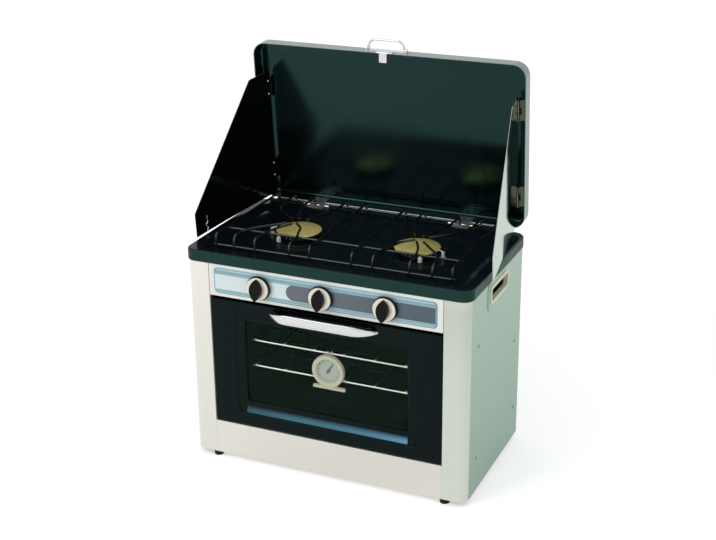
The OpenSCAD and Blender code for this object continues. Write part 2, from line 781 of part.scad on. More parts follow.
// Door
module door_outer() {
    frame_x0 = window_w / 2 + frame_side;
    frame_z0 = window_z0 - frame_low;
    frame_z1 = window_z1 + frame_high;
    step_y = door_y + sheet + frame_step;
    side_l = door_t - 3;
    color(black) difference() {
        union() {
            difference() {
                block(-door_x, door_x, door_y, door_y + side_l, door_z0, door_z1);
                block(-door_x + sheet, door_x - sheet, door_y + sheet, door_back,
                    door_z0 + sheet, door_z1 - sheet);
                block(-door_x - 1, door_x + 1, door_y + 12, door_back, door_z0 - 1,
                    door_z0 + sheet + eps);
            }
            xz_plate(-frame_x0 - sheet, frame_x0 + sheet, frame_z0 - sheet, frame_z1 + sheet,
                11, door_y + sheet - eps, step_y + sheet);
            for (side = [-1, 1]) on_side(side)
                x_rod(hinge_y, hinge_z, door_x - 6, door_x - sheet + eps, hinge_pin_r + 3);
        }
        difference() {
            xz_plate(-frame_x0, frame_x0, frame_z0, frame_z1, 10, door_y - 1, step_y);
            sill();
        }
        xz_plate(-window_w / 2, window_w / 2, window_z0, window_z1, 8, door_y, step_y + 2);
        for (side = [-1, 1]) on_side(side)
            x_rod(hinge_y, hinge_z, door_x - 7, door_x + 1, hinge_pin_r);
    }
}
// Sloped strip under the window, which shows as a pale band
module sill() {
    step_y = door_y + sheet + frame_step;
    z0 = window_z0 - frame_low;
    translate([-window_w / 2, 0, 0]) rotate([90, 0, 90]) linear_extrude(window_w)
        polygon([[door_y, z0 - 1], [step_y + 0.1, z0 - 1], [step_y + 0.1, z0 + 14],
            [step_y - 0.4, z0 + 14], [door_y + 0.4, z0 + 2], [door_y, z0 + 2]]);
}
module door_inner() {
    inner_x = door_x - 8;
    inner_z0 = hinge_z + hinge_pin_r + seat;
    inner_z1 = door_z1 - 4;
    hole_x = window_w / 2 - 2.5;
    hole_z0 = window_z0 + 2.5;
    hole_z1 = window_z1 - 2.5;
    color([0.16, 0.17, 0.17]) {
        difference() {
            block(-inner_x, inner_x, door_y + sheet, door_back, inner_z0, inner_z1);
            block(-inner_x + sheet, inner_x - sheet, door_y, door_back - sheet,
                inner_z0 + sheet, inner_z1 - sheet);
            xz_plate(-hole_x, hole_x, hole_z0, hole_z1, 6, door_back - 2 * sheet, door_back + 1);
        }
        difference() {
            xz_plate(-hole_x - sheet, hole_x + sheet, hole_z0 - sheet, hole_z1 + sheet, 7,
                pane_y + glass_t, door_back);
            xz_plate(-hole_x, hole_x, hole_z0, hole_z1, 6, pane_y, door_back + 1);
        }
    }
}
module door_glass() {
    color([0.1, 0.16, 0.14, 0.5])
        xz_plate(-window_w / 2 - pane_lap, window_w / 2 + pane_lap, window_z0 - pane_lap,
            window_z1 + pane_lap, 5, pane_y, pane_y + glass_t);
}
module door_seal() {
    ring_x = oven_x + 5;
    ring_w = 5;
    z0 = hinge_z + hinge_pin_r + seat + 0.5;
    z1 = oven_z1 + 7;
    color([0.35, 0.35, 0.33]) difference() {
        xz_plate(-ring_x - ring_w, ring_x + ring_w, z0, z1, 8, door_back, door_back + seal_t);
        xz_plate(-ring_x, ring_x, z0 + ring_w, z1 - ring_w, 4, door_back - 1,
            door_back + seal_t + 1);
    }
}
bar_t = 4;
handle_r = 50;
handle_z0 = door_z1 - handle_h - 1.5;
module handle_bend(r) {
    intersection() {
        translate([handle_l / 2, door_y - handle_reach + handle_r]) circle(r = r, $fn = 128);
        translate([handle_l / 2, door_y - handle_reach]) square([handle_r, handle_reach]);
    }
}
module door_handle() {
    color(chrome) translate([0, 0, handle_z0]) linear_extrude(handle_h) {
        translate([-handle_l / 2, door_y - handle_reach]) square([handle_l, bar_t]);
        for (side = [-1, 1]) mirror([side < 0 ? 1 : 0, 0]) difference() {
            handle_bend(handle_r);
            handle_bend(handle_r - bar_t);
        }
    }
}
module door_handle_posts() {
    color(black) translate([0, 0, handle_z0 + 2]) linear_extrude(handle_h - 4)
        for (side = [-1, 1]) mirror([side < 0 ? 1 : 0, 0]) intersection() {
            handle_bend(handle_r - bar_t);
            translate([handle_l / 2 + 22, door_y - handle_reach]) square([11, handle_reach]);
        }
}
module door_hinge_pins() {
    color(chrome) for (side = [-1, 1]) on_side(side)
        x_rod(hinge_y, hinge_z, door_x - 6, column_x + 6, hinge_pin_r);
}
module door_magnet() {
    color([0.25, 0.25, 0.25])
        block(-18, 18, door_y + door_t - 1.5, flange_y, door_z1 - 3, door_z1 + 4);
}

// Lid
module lid_slab(inset, n0, n1) {
    translate([0, n1, lid_l / 2]) rotate([90, 0, 0]) linear_extrude(n1 - n0)
        rounded(lid_w - 2 * inset, lid_l - 2 * inset, max(lid_r - inset, lid_r / 2), $fn = 32);
}
module lid_form(inset, n0, n1) {
    hull() {
        lid_slab(inset, n0, n1 - 6);
        lid_slab(inset + 0.8, n1 - 3.2, n1 - 3);
        lid_slab(inset + 2.6, n1 - 1, n1 - 0.9);
        lid_slab(inset + 6, n1 - 0.1, n1);
    }
}
module lid_shell() {
    back = lid_gap + lid_t;
    border = 28;
    color([0.55, 0.60, 0.57]) in_lid() {
        difference() {
            lid_form(0, lid_gap, back);
            lid_form(sheet, lid_gap - 1, back - sheet);
        }
        difference() {
            lid_slab(border, back - 1.6 * sheet, back - sheet / 2);
            lid_slab(border + 3, back - 3 * sheet, back);
        }
    }
}

module hinge_knuckles(length, r, pin_r, middle) {
    gap = 0.3;
    third = length / 3;
    difference() {
        if (middle) x_rod(0, 0, -third / 2 + gap, third / 2 - gap, r);
        else for (i = [-1, 1]) x_rod(0, 0, i * third - third / 2, i * third + third / 2, r);
        x_rod(0, 0, -length, length, pin_r + run);
    }
}
module lid_hinge_leaves() {
    third = lid_hinge_l / 3;
    color(chrome) for (side = [-1, 1]) translate([side * lid_hinge_x, 0, 0]) {
        translate([0, pivot_y, pivot_z])
            hinge_knuckles(lid_hinge_l, lid_knuckle_r, lid_pin_r, false);
        block(-lid_hinge_l / 2, lid_hinge_l / 2, pivot_y - 15, pivot_y - 2, pan_top,
            pan_top + leaf_t);
        for (i = [-1, 1])
            block(i * third - third / 2, i * third + third / 2, pivot_y - lid_knuckle_r,
                pivot_y - 2, pan_top, pivot_z);
    }
}
module lid_hinge_straps() {
    third = lid_hinge_l / 3;
    color(chrome) in_lid() for (side = [-1, 1]) translate([side * lid_hinge_x, 0, 0]) {
        hinge_knuckles(lid_hinge_l, lid_knuckle_r, lid_pin_r, true);
        block(-third / 2 + 0.3, third / 2 - 0.3, lid_pin_r + 0.6, lid_knuckle_r + 2, sheet,
            sheet + leaf_t);
        block(-lid_hinge_l / 2, lid_hinge_l / 2, lid_knuckle_r + 1, 24, sheet, sheet + leaf_t);
        for (i = [-1, 1]) z_rod(i * 8, 16, sheet + leaf_t - eps, sheet + leaf_t + 1.4, 2.4);
    }
}
module lid_hinge_pins() {
    color(chrome) for (side = [-1, 1]) x_rod(pivot_y, pivot_z,
        side * lid_hinge_x - lid_hinge_l / 2 - 1, side * lid_hinge_x + lid_hinge_l / 2 + 1,
        lid_pin_r);
}

module bail_bracket() {
    ear_x = bail_side + bail_r + 1;
    color(chrome) in_lid() {
        block(-ear_x - 3, ear_x + 3, bail_n - 6, bail_n + 6, lid_l, lid_l + 1.4);
        block(-16, 16, lid_gap, bail_n, lid_l, lid_l + 1.4);
        x_rod(hasp_n, hasp_u, -12, 12, hasp_pin_r);
        for (side = [-1, 1]) on_side(side) {
            x_rod(hasp_n, hasp_u, hasp_w / 2 + near, 12, hasp_r);
            block(hasp_w / 2 + near, 12, hasp_n, lid_gap + eps, lid_l + 0.2, lid_l + 1.4);
        }
        for (side = [-1, 1]) on_side(side) difference() {
            union() {
                x_rod(bail_n, bail_u, ear_x, ear_x + 3, 4);
                block(ear_x, ear_x + 3, bail_n - 4, bail_n + 4, lid_l, bail_u);
            }
            x_rod(bail_n, bail_u, ear_x - 1, ear_x + 4, bail_r + run);
        }
    }
}
module bail_handle() {
    top_u = bail_u + bail_h;
    color(chrome) in_lid() {
        wire([[-bail_side, bail_n, bail_u], [-bail_side, bail_n, bail_u + bail_h * 0.6],
            [-bail_side + 9, bail_n, top_u], [bail_side - 9, bail_n, top_u],
            [bail_side, bail_n, bail_u + bail_h * 0.6], [bail_side, bail_n, bail_u]],
            2 * bail_r);
        for (side = [-1, 1]) on_side(side)
            x_rod(bail_n, bail_u, bail_side - 0.5, bail_side + bail_r + 4.5, bail_r);
    }
}

hasp_n = lid_gap - hasp_r - 0.6;
hasp_u = lid_l + hasp_r - 0.4;
hasp_y = pivot_y + hasp_n * cos(lid_lean) - hasp_u * sin(lid_lean);
hasp_z = pivot_z + hasp_n * sin(lid_lean) + hasp_u * cos(lid_lean);
module latch_hasp() {
    color(chrome) translate([0, hasp_y, hasp_z]) difference() {
        union() {
            x_rod(0, 0, -hasp_w / 2, hasp_w / 2, hasp_r);
            xz_plate(-hasp_w / 2, hasp_w / 2, -hasp_l, 0, 2, -hasp_r, -hasp_r + 1.2);
        }
        x_rod(0, 0, -hasp_w, hasp_w, hasp_pin_r + run);
    }
}

// Wind panels, cut away below where they swing in over the grate
module wind_panel(side) {
    top_u = wind_low + wind_h;
    front_low = wind_low + wind_rise;
    front_u = front_low + wind_front_h;
    color(side > 0 ? green_steel : black) on_wind(side) difference() {
        translate([wind_t / 2, 0, 0]) rotate([0, -90, 0]) linear_extrude(wind_t)
            polygon([[front_low, -wind_reach], [wind_low + 4, -176], [wind_low + 5.8, -120],
                [wind_low + 8.6, -80], [wind_low + 12.6, -50], [wind_low, -36], [wind_low, -4],
                [top_u, -4], [top_u, -wind_high_s], [front_u, -wind_reach]]);
        translate([0, -clip_s, clip_u]) x_rod(0, 0, -3, 3, clip_r + run);
    }
}
module left_wind_panel() { wind_panel(-1); }
module right_wind_panel() { wind_panel(1); }

module wind_hinge_leaves() {
    back = lid_gap + lid_t - sheet;
    color([0.75, 0.70, 0.58]) in_lid() for (side = [-1, 1], u = wind_hinge_u) on_side(side) {
        n = wind_depth(side);
        translate([wind_x, n, u]) rotate([0, -90, 0])
            hinge_knuckles(wind_hinge_l, wind_knuckle_r, wind_pin_r, false);
        block(wind_x + wind_knuckle_r - 0.5, lid_x - 8, back - leaf_t, back,
            u - wind_hinge_l / 2, u + wind_hinge_l / 2);
        for (i = [-1, 1]) block(wind_x + wind_pin_r + 0.6, wind_x + wind_knuckle_r + 2, n,
            back, u + i * wind_hinge_l / 3 - wind_hinge_l / 6,
            u + i * wind_hinge_l / 3 + wind_hinge_l / 6);
    }
}
module wind_hinge_pins() {
    color(chrome) in_lid() for (side = [-1, 1], u = wind_hinge_u) on_side(side)
        z_rod(wind_x, wind_depth(side), u - wind_hinge_l / 2 - 1, u + wind_hinge_l / 2 + 1,
            wind_pin_r);
}
module wind_knuckles(side) {
    color([0.75, 0.70, 0.58]) on_wind(side) for (u = wind_hinge_u) {
        translate([0, 0, u]) rotate([0, -90, 0])
            hinge_knuckles(wind_hinge_l, wind_knuckle_r, wind_pin_r, true);
        block(-wind_t / 2 - leaf_t, -wind_t / 2, -6, -wind_pin_r - 0.8,
            u - wind_hinge_l / 6 + 0.3, u + wind_hinge_l / 6 - 0.3);
        block(-wind_t / 2 - leaf_t, -wind_t / 2, -16, -wind_knuckle_r - 1,
            u - wind_hinge_l / 2, u + wind_hinge_l / 2);
        for (i = [-1, 1]) translate([0, -11, u + i * 13])
            x_rod(0, 0, -wind_t / 2 - leaf_t - 1.2, -wind_t / 2 - leaf_t + eps, 2.2);
    }
}
module left_wind_knuckles() { wind_knuckles(-1); }
module right_wind_knuckles() { wind_knuckles(1); }

module wire_clip(side) {
    drop = clip_u - wind_low - wind_rise - 2;
    in_x = -wind_t / 2 - clip_r - 0.25;
    color(chrome) on_wind(side) translate([0, -clip_s, clip_u]) {
        x_rod(0, 0, in_x, wind_t / 2 + 2, clip_r);
        rotate([-lid_lean, 0, 0])
            wire([[in_x, 0, 0], [in_x, 2, -drop * 0.4], [in_x, -3, -drop * 0.55],
                [in_x, 3, -drop * 0.75], [in_x, 0, -drop]], 2 * clip_r);
    }
}
module left_wire_clip() { wire_clip(-1); }
module right_wire_clip() { wire_clip(1); }

left_side_panel();
right_side_panel();
back_panel();
base_tray();
kick_panel();
control_panel();
control_fascia();
hob_pan();
pan_grate();
burner_heads();
burner_caps();
burner_venturis();
burner_probes();
gas_manifold();
gas_inlet();
gas_valves();
left_spindle();
middle_spindle();
right_spindle();
left_knob();
middle_knob();
right_knob();
left_knob_disc();
middle_knob_disc();
right_knob_disc();
oven_liner();
upper_rack();
lower_rack();
thermometer_case();
thermometer_dial();
thermometer_pointer();
thermometer_lens();
oven_burner();
heat_plate();
door_outer();
door_inner();
door_glass();
door_seal();
door_handle();
door_handle_posts();
door_hinge_pins();
door_magnet();
lid_shell();
lid_hinge_leaves();
lid_hinge_straps();
lid_hinge_pins();
bail_handle();
bail_bracket();
latch_hasp();
left_wind_panel();
right_wind_panel();
wind_hinge_leaves();
wind_hinge_pins();
left_wind_knuckles();
right_wind_knuckles();
left_wire_clip();
right_wire_clip();
feet();
side_handle_trims();
panel_screws();
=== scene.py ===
import bmesh
import bpy
import json
import math
from mathutils import Matrix, Vector


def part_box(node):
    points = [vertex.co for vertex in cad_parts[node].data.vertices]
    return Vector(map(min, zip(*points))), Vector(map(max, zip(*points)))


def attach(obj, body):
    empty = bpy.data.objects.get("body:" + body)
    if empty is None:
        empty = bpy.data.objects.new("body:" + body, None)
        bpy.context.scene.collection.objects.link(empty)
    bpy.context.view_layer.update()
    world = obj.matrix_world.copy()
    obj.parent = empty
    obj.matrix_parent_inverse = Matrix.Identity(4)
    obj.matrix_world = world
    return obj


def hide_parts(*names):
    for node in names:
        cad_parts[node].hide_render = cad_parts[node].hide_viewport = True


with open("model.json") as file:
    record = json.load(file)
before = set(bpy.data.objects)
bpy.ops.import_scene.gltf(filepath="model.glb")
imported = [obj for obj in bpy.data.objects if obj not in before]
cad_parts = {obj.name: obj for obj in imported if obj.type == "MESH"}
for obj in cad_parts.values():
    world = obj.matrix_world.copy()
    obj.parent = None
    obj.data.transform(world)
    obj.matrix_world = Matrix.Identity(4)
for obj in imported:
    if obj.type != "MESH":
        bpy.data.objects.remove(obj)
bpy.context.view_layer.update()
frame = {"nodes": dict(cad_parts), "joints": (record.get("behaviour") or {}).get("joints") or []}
mm = 0.001
scene = bpy.context.scene
print("oven frame loaded")

# camera: the spot the oven was photographed from, in mm and degrees
camera = {"place": (966.27, -2167.76, 1313.5), "azimuth": 23.929, "elevation": 21.742,
          "roll": -0.632, "lens": 68.648, "sensor": 36}


def setCamera(c):
    az, el, roll = (math.radians(c[k]) for k in ("azimuth", "elevation", "roll"))
    ahead = Vector((-math.sin(az) * math.cos(el), math.cos(az) * math.cos(el), -math.sin(el)))
    side = Vector((math.cos(az), math.sin(az), 0))
    up = side.cross(ahead)
    sideR = side * math.cos(roll) + up * math.sin(roll)
    upR = up * math.cos(roll) - side * math.sin(roll)
    data = bpy.data.cameras.new("camera")
    data.sensor_width, data.lens = c["sensor"], c["lens"]
    data.clip_end = 50
    obj = bpy.data.objects.new("camera", data)
    turn = Matrix((sideR, upR, -ahead)).transposed().to_4x4()
    obj.matrix_world = Matrix.Translation(Vector(c["place"]) * mm) @ turn
    scene.collection.objects.link(obj)
    scene.camera = obj


setCamera(camera)


def tone(r, g, b):  # a colour read as 0-255 screen values
    return tuple((c / 255 / 12.92 if c <= 10 else ((c / 255 + 0.055) / 1.055) ** 2.4)
                 for c in (r, g, b)) + (1,)


def startMaterial(name, colour, rough, metal=0.0, spec=0.5, tint=(1, 1, 1)):
    mat = bpy.data.materials.new(name)
    mat.use_nodes = True
    shader = mat.node_tree.nodes["Principled BSDF"]
    shader.inputs["Base Color"].default_value = tone(*colour)
    shader.inputs["Roughness"].default_value = rough
    shader.inputs["Metallic"].default_value = metal
    shader.inputs["Specular IOR Level"].default_value = spec
    shader.inputs["Specular Tint"].default_value = tint + (1,)
    return mat, mat.node_tree, shader


def objectCoords(tree, scale=(1, 1, 1), turn=(0, 0, 0)):
    coord = tree.nodes.new("ShaderNodeTexCoord")
    mapping = tree.nodes.new("ShaderNodeMapping")
    mapping.inputs["Scale"].default_value = scale
    mapping.inputs["Rotation"].default_value = turn
    tree.links.new(coord.outputs["Object"], mapping.inputs["Vector"])
    return mapping.outputs["Vector"]


def ramp(tree, value, stops):
    # each stop is a place and a colour in screen values, or one number for a plain grey
    node = tree.nodes.new("ShaderNodeValToRGB")
    while len(node.color_ramp.elements) < len(stops):
        node.color_ramp.elements.new(0.5)
    for e, (place, colour) in zip(node.color_ramp.elements, stops):
        e.position = place
        e.color = tone(*colour) if isinstance(colour, tuple) else (colour, colour, colour, 1)
    tree.links.new(value, node.inputs["Fac"])
    return node.outputs["Color"]


def noise(tree, vector, scale, detail=2.0):
    node = tree.nodes.new("ShaderNodeTexNoise")
    node.inputs["Scale"].default_value = scale
    node.inputs["Detail"].default_value = detail
    tree.links.new(vector, node.inputs["Vector"])
    return node.outputs["Fac"]


def bump(tree, shader, height, strength, distance=0.001):
    node = tree.nodes.new("ShaderNodeBump")
    node.inputs["Strength"].default_value = strength
    node.inputs["Distance"].default_value = distance
    tree.links.new(height, node.inputs["Height"])
    tree.links.new(node.outputs["Normal"], shader.inputs["Normal"])


def paint(tree, shader, colour):
    tree.links.new(colour, shader.inputs["Base Color"])


def sheetMetal(name, colour, dark, rough, metal, brush=(4, 4, 160)):
    # painted or plain sheet with a faint brushing, a little darker in patches
    mat, tree, shader = startMaterial(name, colour, rough, metal)
    grain = noise(tree, objectCoords(tree, brush), 12, 3)
    patch = noise(tree, objectCoords(tree), 3.5, 1)
    patches = ramp(tree, patch, [(0.35, colour), (0.7, dark)])
    brushing = ramp(tree, grain, [(0.3, dark), (0.7, colour)])
    paint(tree, shader, blend(tree, 0.35, patches, brushing))
    return mat


def smudge(tree, shader, size, detail, low, high, rough, worst):
    # roughness that wanders between two values in soft patches
    patch = noise(tree, objectCoords(tree), size, detail)
    tree.links.new(ramp(tree, patch, [(low, rough), (high, worst)]), shader.inputs["Roughness"])


def enamel(name, colour, rough, spec=0.15, tint=(0.6, 0.9, 1), peel=0.02):
    # glossy baked enamel with a trace of orange peel
    mat, tree, shader = startMaterial(name, colour, rough, 0.0, spec, tint)
    bump(tree, shader, noise(tree, objectCoords(tree), 220, 2), peel)
    smudge(tree, shader, 9, 3, 0.35, 0.75, rough, rough * 1.8)
    return mat


def plated(name, colour, rough, grain=0.0):
    # bare or plated metal, a little uneven in its shine
    mat, tree, shader = startMaterial(name, colour, rough, 1.0)
    smudge(tree, shader, 30, 3, 0.3, 0.8, rough, rough + 0.08)
    if grain:
        bump(tree, shader, noise(tree, objectCoords(tree), 900, 2), grain, 0.0003)
    return mat


def plain(name, colour, rough, metal=0.0, speckle=260, depth=0.05, spec=0.3):
    # one colour with a fine grain
    mat, tree, shader = startMaterial(name, colour, rough, metal, spec)
    bump(tree, shader, noise(tree, objectCoords(tree), speckle, 3), depth, 0.0005)
    return mat


def glazing(name, colour, alpha, rough=0.02, spec=0.3, tint=(0.6, 1, 0.9)):
    mat, tree, shader = startMaterial(name, colour, rough, 0.0, spec, tint)
    shader.inputs["Alpha"].default_value = alpha
    smudge(tree, shader, 14, 2, 0.4, 0.8, rough, rough + 0.05)
    return mat


def spread(tree, axis, low, high):
    # runs from 0 to 1 along one of the piece's own axes, low and high in mm
    split = tree.nodes.new("ShaderNodeSeparateXYZ")
    coord = tree.nodes.new("ShaderNodeTexCoord")
    tree.links.new(coord.outputs["Object"], split.inputs[0])
    fade = tree.nodes.new("ShaderNodeMapRange")
    fade.inputs["From Min"].default_value = low * mm
    fade.inputs["From Max"].default_value = high * mm
    tree.links.new(split.outputs[axis], fade.inputs["Value"])
    return fade.outputs["Result"]


def blend(tree, factor, a, b):
    mix = tree.nodes.new("ShaderNodeMix")
    mix.data_type = "RGBA"
    if isinstance(factor, float):
        mix.inputs["Factor"].default_value = factor
    else:
        tree.links.new(factor, mix.inputs["Factor"])
    tree.links.new(a, mix.inputs["A"])
    tree.links.new(b, mix.inputs["B"])
    return mix.outputs["Result"]


def steelWithPaintedReflection():
    # painted light on a plain silver sheet: silver where the sheet bends round to the front, the
    # left column painted lighter than the right and both changing tone with height, and a
    # painted pale green reflection on the flat side that lightens towards the top
    mat, tree, shader = startMaterial("steelPaintedReflection", (166, 196, 176), 0.3, 0.2)
    high = spread(tree, "Z", 0, 420)
    right = ramp(tree, high, [(0.0, (216, 220, 208)), (0.6, (206, 214, 200)),
                              (0.9, (196, 204, 190)), (1.0, (214, 216, 204))])
    left = ramp(tree, high, [(0.0, (226, 226, 218)), (0.7, (232, 230, 220)),
                             (1.0, (238, 234, 224))])
    front = blend(tree, spread(tree, "X", -20, 20), left, right)
    side = ramp(tree, high, [(0.0, (120, 156, 136)), (0.55, (136, 172, 150)),
                             (0.95, (150, 182, 162))])
    edge = ramp(tree, spread(tree, "Y", -149, -109), [(0.3, 0), (0.46, 1)])
    paint(tree, shader, blend(tree, edge, front, side))
    return mat


def fieldWithPaintedShade():
    # pale blue field with painted shade: a teal band along its top and bottom, next to the
    # sloped edges
    mat, tree, shader = startMaterial("controlField", (214, 228, 232), 0.3, 0.1)
    paint(tree, shader, ramp(tree, spread(tree, "Z", 347.5, 393),
                             [(0.0, (196, 214, 220)), (0.05, (132, 168, 178)),
                              (0.13, (150, 184, 192)), (0.17, (216, 228, 230)),
                              (0.76, (212, 226, 230)), (0.8, (140, 176, 186)),
                              (0.93, (124, 162, 174)), (1.0, (206, 220, 224))]))
    return mat


def sillWithPaintedSheen():
    # painted sheen and shade: a blue reflection on the sloped sill, lighter to the right, dark
    # at the left end and under the glass
    mat, tree, shader = startMaterial("sillPaintedSheen", (70, 110, 140), 0.2, 0.0, 0.2)
    across = spread(tree, "X", -163, 163)
    along = ramp(tree, across, [(0.0, (40, 84, 92)), (0.3, (62, 108, 124)),
                                (0.7, (70, 118, 144)), (1.0, (96, 146, 176))])
    dark = ramp(tree, across, [(0.0, (14, 34, 38)), (1.0, (36, 76, 92))])
    up = ramp(tree, spread(tree, "Z", 107, 120.5), [(0.45, 0), (0.9, 1)])
    paint(tree, shader, blend(tree, up, along, dark))
    return mat


def wireWithPaintedShade(name, colour, deep, start, end):
    # bright plated wire with painted shade that darkens it away from the window
    mat, tree, shader = startMaterial(name, colour, 0.25, 0.8)
    paint(tree, shader, ramp(tree, spread(tree, "Y", start, end), [(0.0, colour), (0.4, deep)]))
    return mat


def twoSided(name, leftColour, rightColour, rough, metal):
    # one colour on the left half of the piece, another on the right
    mat, tree, shader = startMaterial(name, rightColour, rough, metal)
    paint(tree, shader, ramp(tree, spread(tree, "X", -20, 20),
                             [(0.4, leftColour), (0.6, rightColour)]))
    return mat


def hatchedStrip():
    # grey strip with slanting light and dark lines, and painted shade that darkens it towards
    # teal at the right end
    mat, tree, shader = startMaterial("hatchedGrey", (96, 104, 114), 0.35)
    place = objectCoords(tree, (1, 1, 1), (0, math.radians(-52), 0))
    wave = tree.nodes.new("ShaderNodeTexWave")
    wave.wave_type, wave.bands_direction = "BANDS", "X"
    wave.inputs["Scale"].default_value = 80
    wave.inputs["Distortion"].default_value = 0
    tree.links.new(place, wave.inputs["Vector"])
    bands = wave.outputs["Fac"]
    lines = ramp(tree, bands, [(0.0, (74, 84, 94)), (0.6, (88, 98, 108)),
                               (0.85, (116, 122, 128))])
    dim = ramp(tree, bands, [(0.0, (52, 74, 84)), (0.85, (70, 92, 100))])
    along = ramp(tree, spread(tree, "X", -70, 218), [(0.3, 0), (0.9, 0.8)])
    paint(tree, shader, blend(tree, along, lines, dim))
    return mat


print("mixing finishes")
silver = sheetMetal("warmSilver", (234, 231, 222), (222, 219, 209), 0.36, 0.15)
# side and back panels: silver sheet with painted reflection and shade
green = steelWithPaintedReflection()
lidOutside = sheetMetal("lidGreyGreen", (132, 148, 142), (116, 132, 126), 0.22, 0.4)
blueSilver = sheetMetal("blueSilver", (234, 236, 230), (222, 226, 222), 0.3, 0.1)
fieldFace = fieldWithPaintedShade()
# painted shade: the sloped edges of the field are coloured a darker teal
fieldEdge = plain("fieldEdgePaintedShade", (118, 158, 172), 0.3, 0.1)
hatched = hatchedStrip()
blackEnamel = enamel("hobEnamel", (10, 18, 24), 0.12, 0.12, (0.6, 0.85, 1))
# painted reflection: black enamel shown teal on the pan's edge and flange
panEdge = enamel("panEdgePaintedReflection", (34, 60, 56), 0.2, 0.05, (0.5, 1, 0.95))
# painted reflection: the teal specular tint stands in for the teal sheen on the lid's inside
lidInside = enamel("lidEnamel", (4, 9, 10), 0.11, 0.34, (0.42, 1, 1), 0.004)
windInside = enamel("windEnamel", (3, 6, 7), 0.1, 0.12, (0.6, 1, 1))
grateEnamel = enamel("grateEnamel", (8, 9, 11), 0.2, 0.6, (1, 1, 1))
doorEnamel = enamel("doorEnamel", (3, 6, 7), 0.14, 0.12, (0.6, 1, 1))
sillPaintedSheen = sillWithPaintedSheen()
# painted reflection: the pale green on this mirror-smooth steel is a painted green reflection
windOutside = plated("windSteelPaintedReflection", (122, 158, 136), 0.04)
chrome = plated("chrome", (226, 226, 226), 0.08)
handleChrome = plated("handleChrome", (206, 207, 208), 0.24)
screwGrey = plated("screwGrey", (112, 132, 120), 0.3)
smallChrome = plated("smallChrome", (206, 202, 206), 0.2)
zinc = plated("zinc", (165, 165, 160), 0.35, 0.1)
bronzed = plated("bronzedSteel", (150, 140, 126), 0.16, 0.05)
blackHinge = plain("blackHinge", (10, 12, 14), 0.25, 0.0, 300, 0.02, 0.2)
hingeLeaf = twoSided("hingeLeaf", (12, 14, 16), (132, 124, 114), 0.16, 0.9)
brass = plain("brassCap", (226, 212, 128), 0.3, 0.4, 700, 0.03)
castIron = plain("castBurner", (34, 34, 32), 0.7, 0.2, 500, 0.3)
ovenEnamel = enamel("ovenEnamel", (8, 18, 14), 0.5, 0.1, (0.6, 1, 0.9))
blackPlastic = plain("knobBlack", (7, 8, 9), 0.2, 0.0, 400, 0.02, 0.12)
rackWire = wireWithPaintedShade("rackWire", (232, 240, 228), (14, 26, 22), -120, -98)
rubber = plain("footRubber", (20, 20, 20), 0.8, 0.0, 600, 0.2)
discSilver = plain("discSilver", (234, 228, 212), 0.3, 0.3, 300, 0.01)
bezelCream = plain("bezelCream", (250, 246, 216), 0.35, 0.0, 300, 0.01)
beige = plain("beigeTrim", (206, 208, 184), 0.35)
dialCream = plain("dialCream", (232, 246, 234), 0.35, 0.0, 300, 0.02)
dialInk = plain("dialInk", (40, 42, 44), 0.5, 0.0, 300, 0.02)
pointerRed = plain("pointerRed", (150, 84, 84), 0.4, 0.0, 300, 0.02)
sealFibre = plain("sealFibre", (70, 70, 66), 0.95, 0.0, 900, 0.6)
ceramic = plain("ceramic", (226, 226, 220), 0.3, 0.0, 200, 0.02)
windowGlass = glazing("windowGlass", (12, 28, 20), 0.13, 0.03, 0.42, (0.5, 1, 0.75))
lensGlass = glazing("lensGlass", (200, 215, 210), 0.03, 0.02, 0.1)

finishNodes = (
    (green, "left_side_panel right_side_panel back_panel"),
    (zinc, "base_tray burner_venturis left_spindle middle_spindle right_spindle oven_burner "
           "door_hinge_pins lid_hinge_leaves lid_hinge_straps lid_hinge_pins wind_hinge_pins"),
    (silver, "kick_panel"), (blueSilver, "control_panel"), (hatched, "control_fascia"),
    (blackEnamel, "hob_pan"), (grateEnamel, "pan_grate"), (castIron, "burner_heads"),
    (brass, "burner_caps gas_manifold gas_inlet gas_valves"), (ceramic, "burner_probes"),
    (blackPlastic, "left_knob middle_knob right_knob door_handle_posts door_magnet"),
    (discSilver, "left_knob_disc middle_knob_disc right_knob_disc"),
    (ovenEnamel, "oven_liner heat_plate door_inner"), (rackWire, "upper_rack lower_rack"),
    (bezelCream, "thermometer_case"), (dialCream, "thermometer_dial"),
    (pointerRed, "thermometer_pointer"), (lensGlass, "thermometer_lens"),
    (doorEnamel, "door_outer"), (windowGlass, "door_glass"), (sealFibre, "door_seal"),
    (handleChrome, "door_handle"), (lidOutside, "lid_shell"),
    (smallChrome, "bail_handle bail_bracket latch_hasp"),
    (windInside, "left_wind_panel"), (windOutside, "right_wind_panel"),
    (hingeLeaf, "wind_hinge_leaves"), (blackHinge, "left_wind_knuckles"),
    (bronzed, "right_wind_knuckles"), (chrome, "left_wire_clip right_wire_clip"),
    (rubber, "feet"), (beige, "side_handle_trims"), (screwGrey, "panel_screws"),
)
nodeFinish = {node: finish for finish, nodes in finishNodes for node in nodes.split()}
for name, obj in frame["nodes"].items():
    obj.data.materials.clear()
    obj.data.materials.append(nodeFinish[name])


def boxOf(node):
    lo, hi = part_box(node)
    return lo / mm, hi / mm


def planPlace(p, q, h):
    return (p, q, h)


def frontPlace(p, q, h):  # a face seen from the front, h is how far it stands forward
    return (p, -h, q)


lidPivot = tuple(v / mm for v in next(j["pos_m"] for j in frame["joints"]
                                      if j["name"] == "lid_tilt"))
lidLean = math.radians(4.5)


def lidPlace(p, q, h):  # p to the left, q up the lid, h back from the hinge pins
    return (-p, lidPivot[1] + h * math.cos(lidLean) - q * math.sin(lidLean),
            lidPivot[2] + h * math.sin(lidLean) + q * math.cos(lidLean))


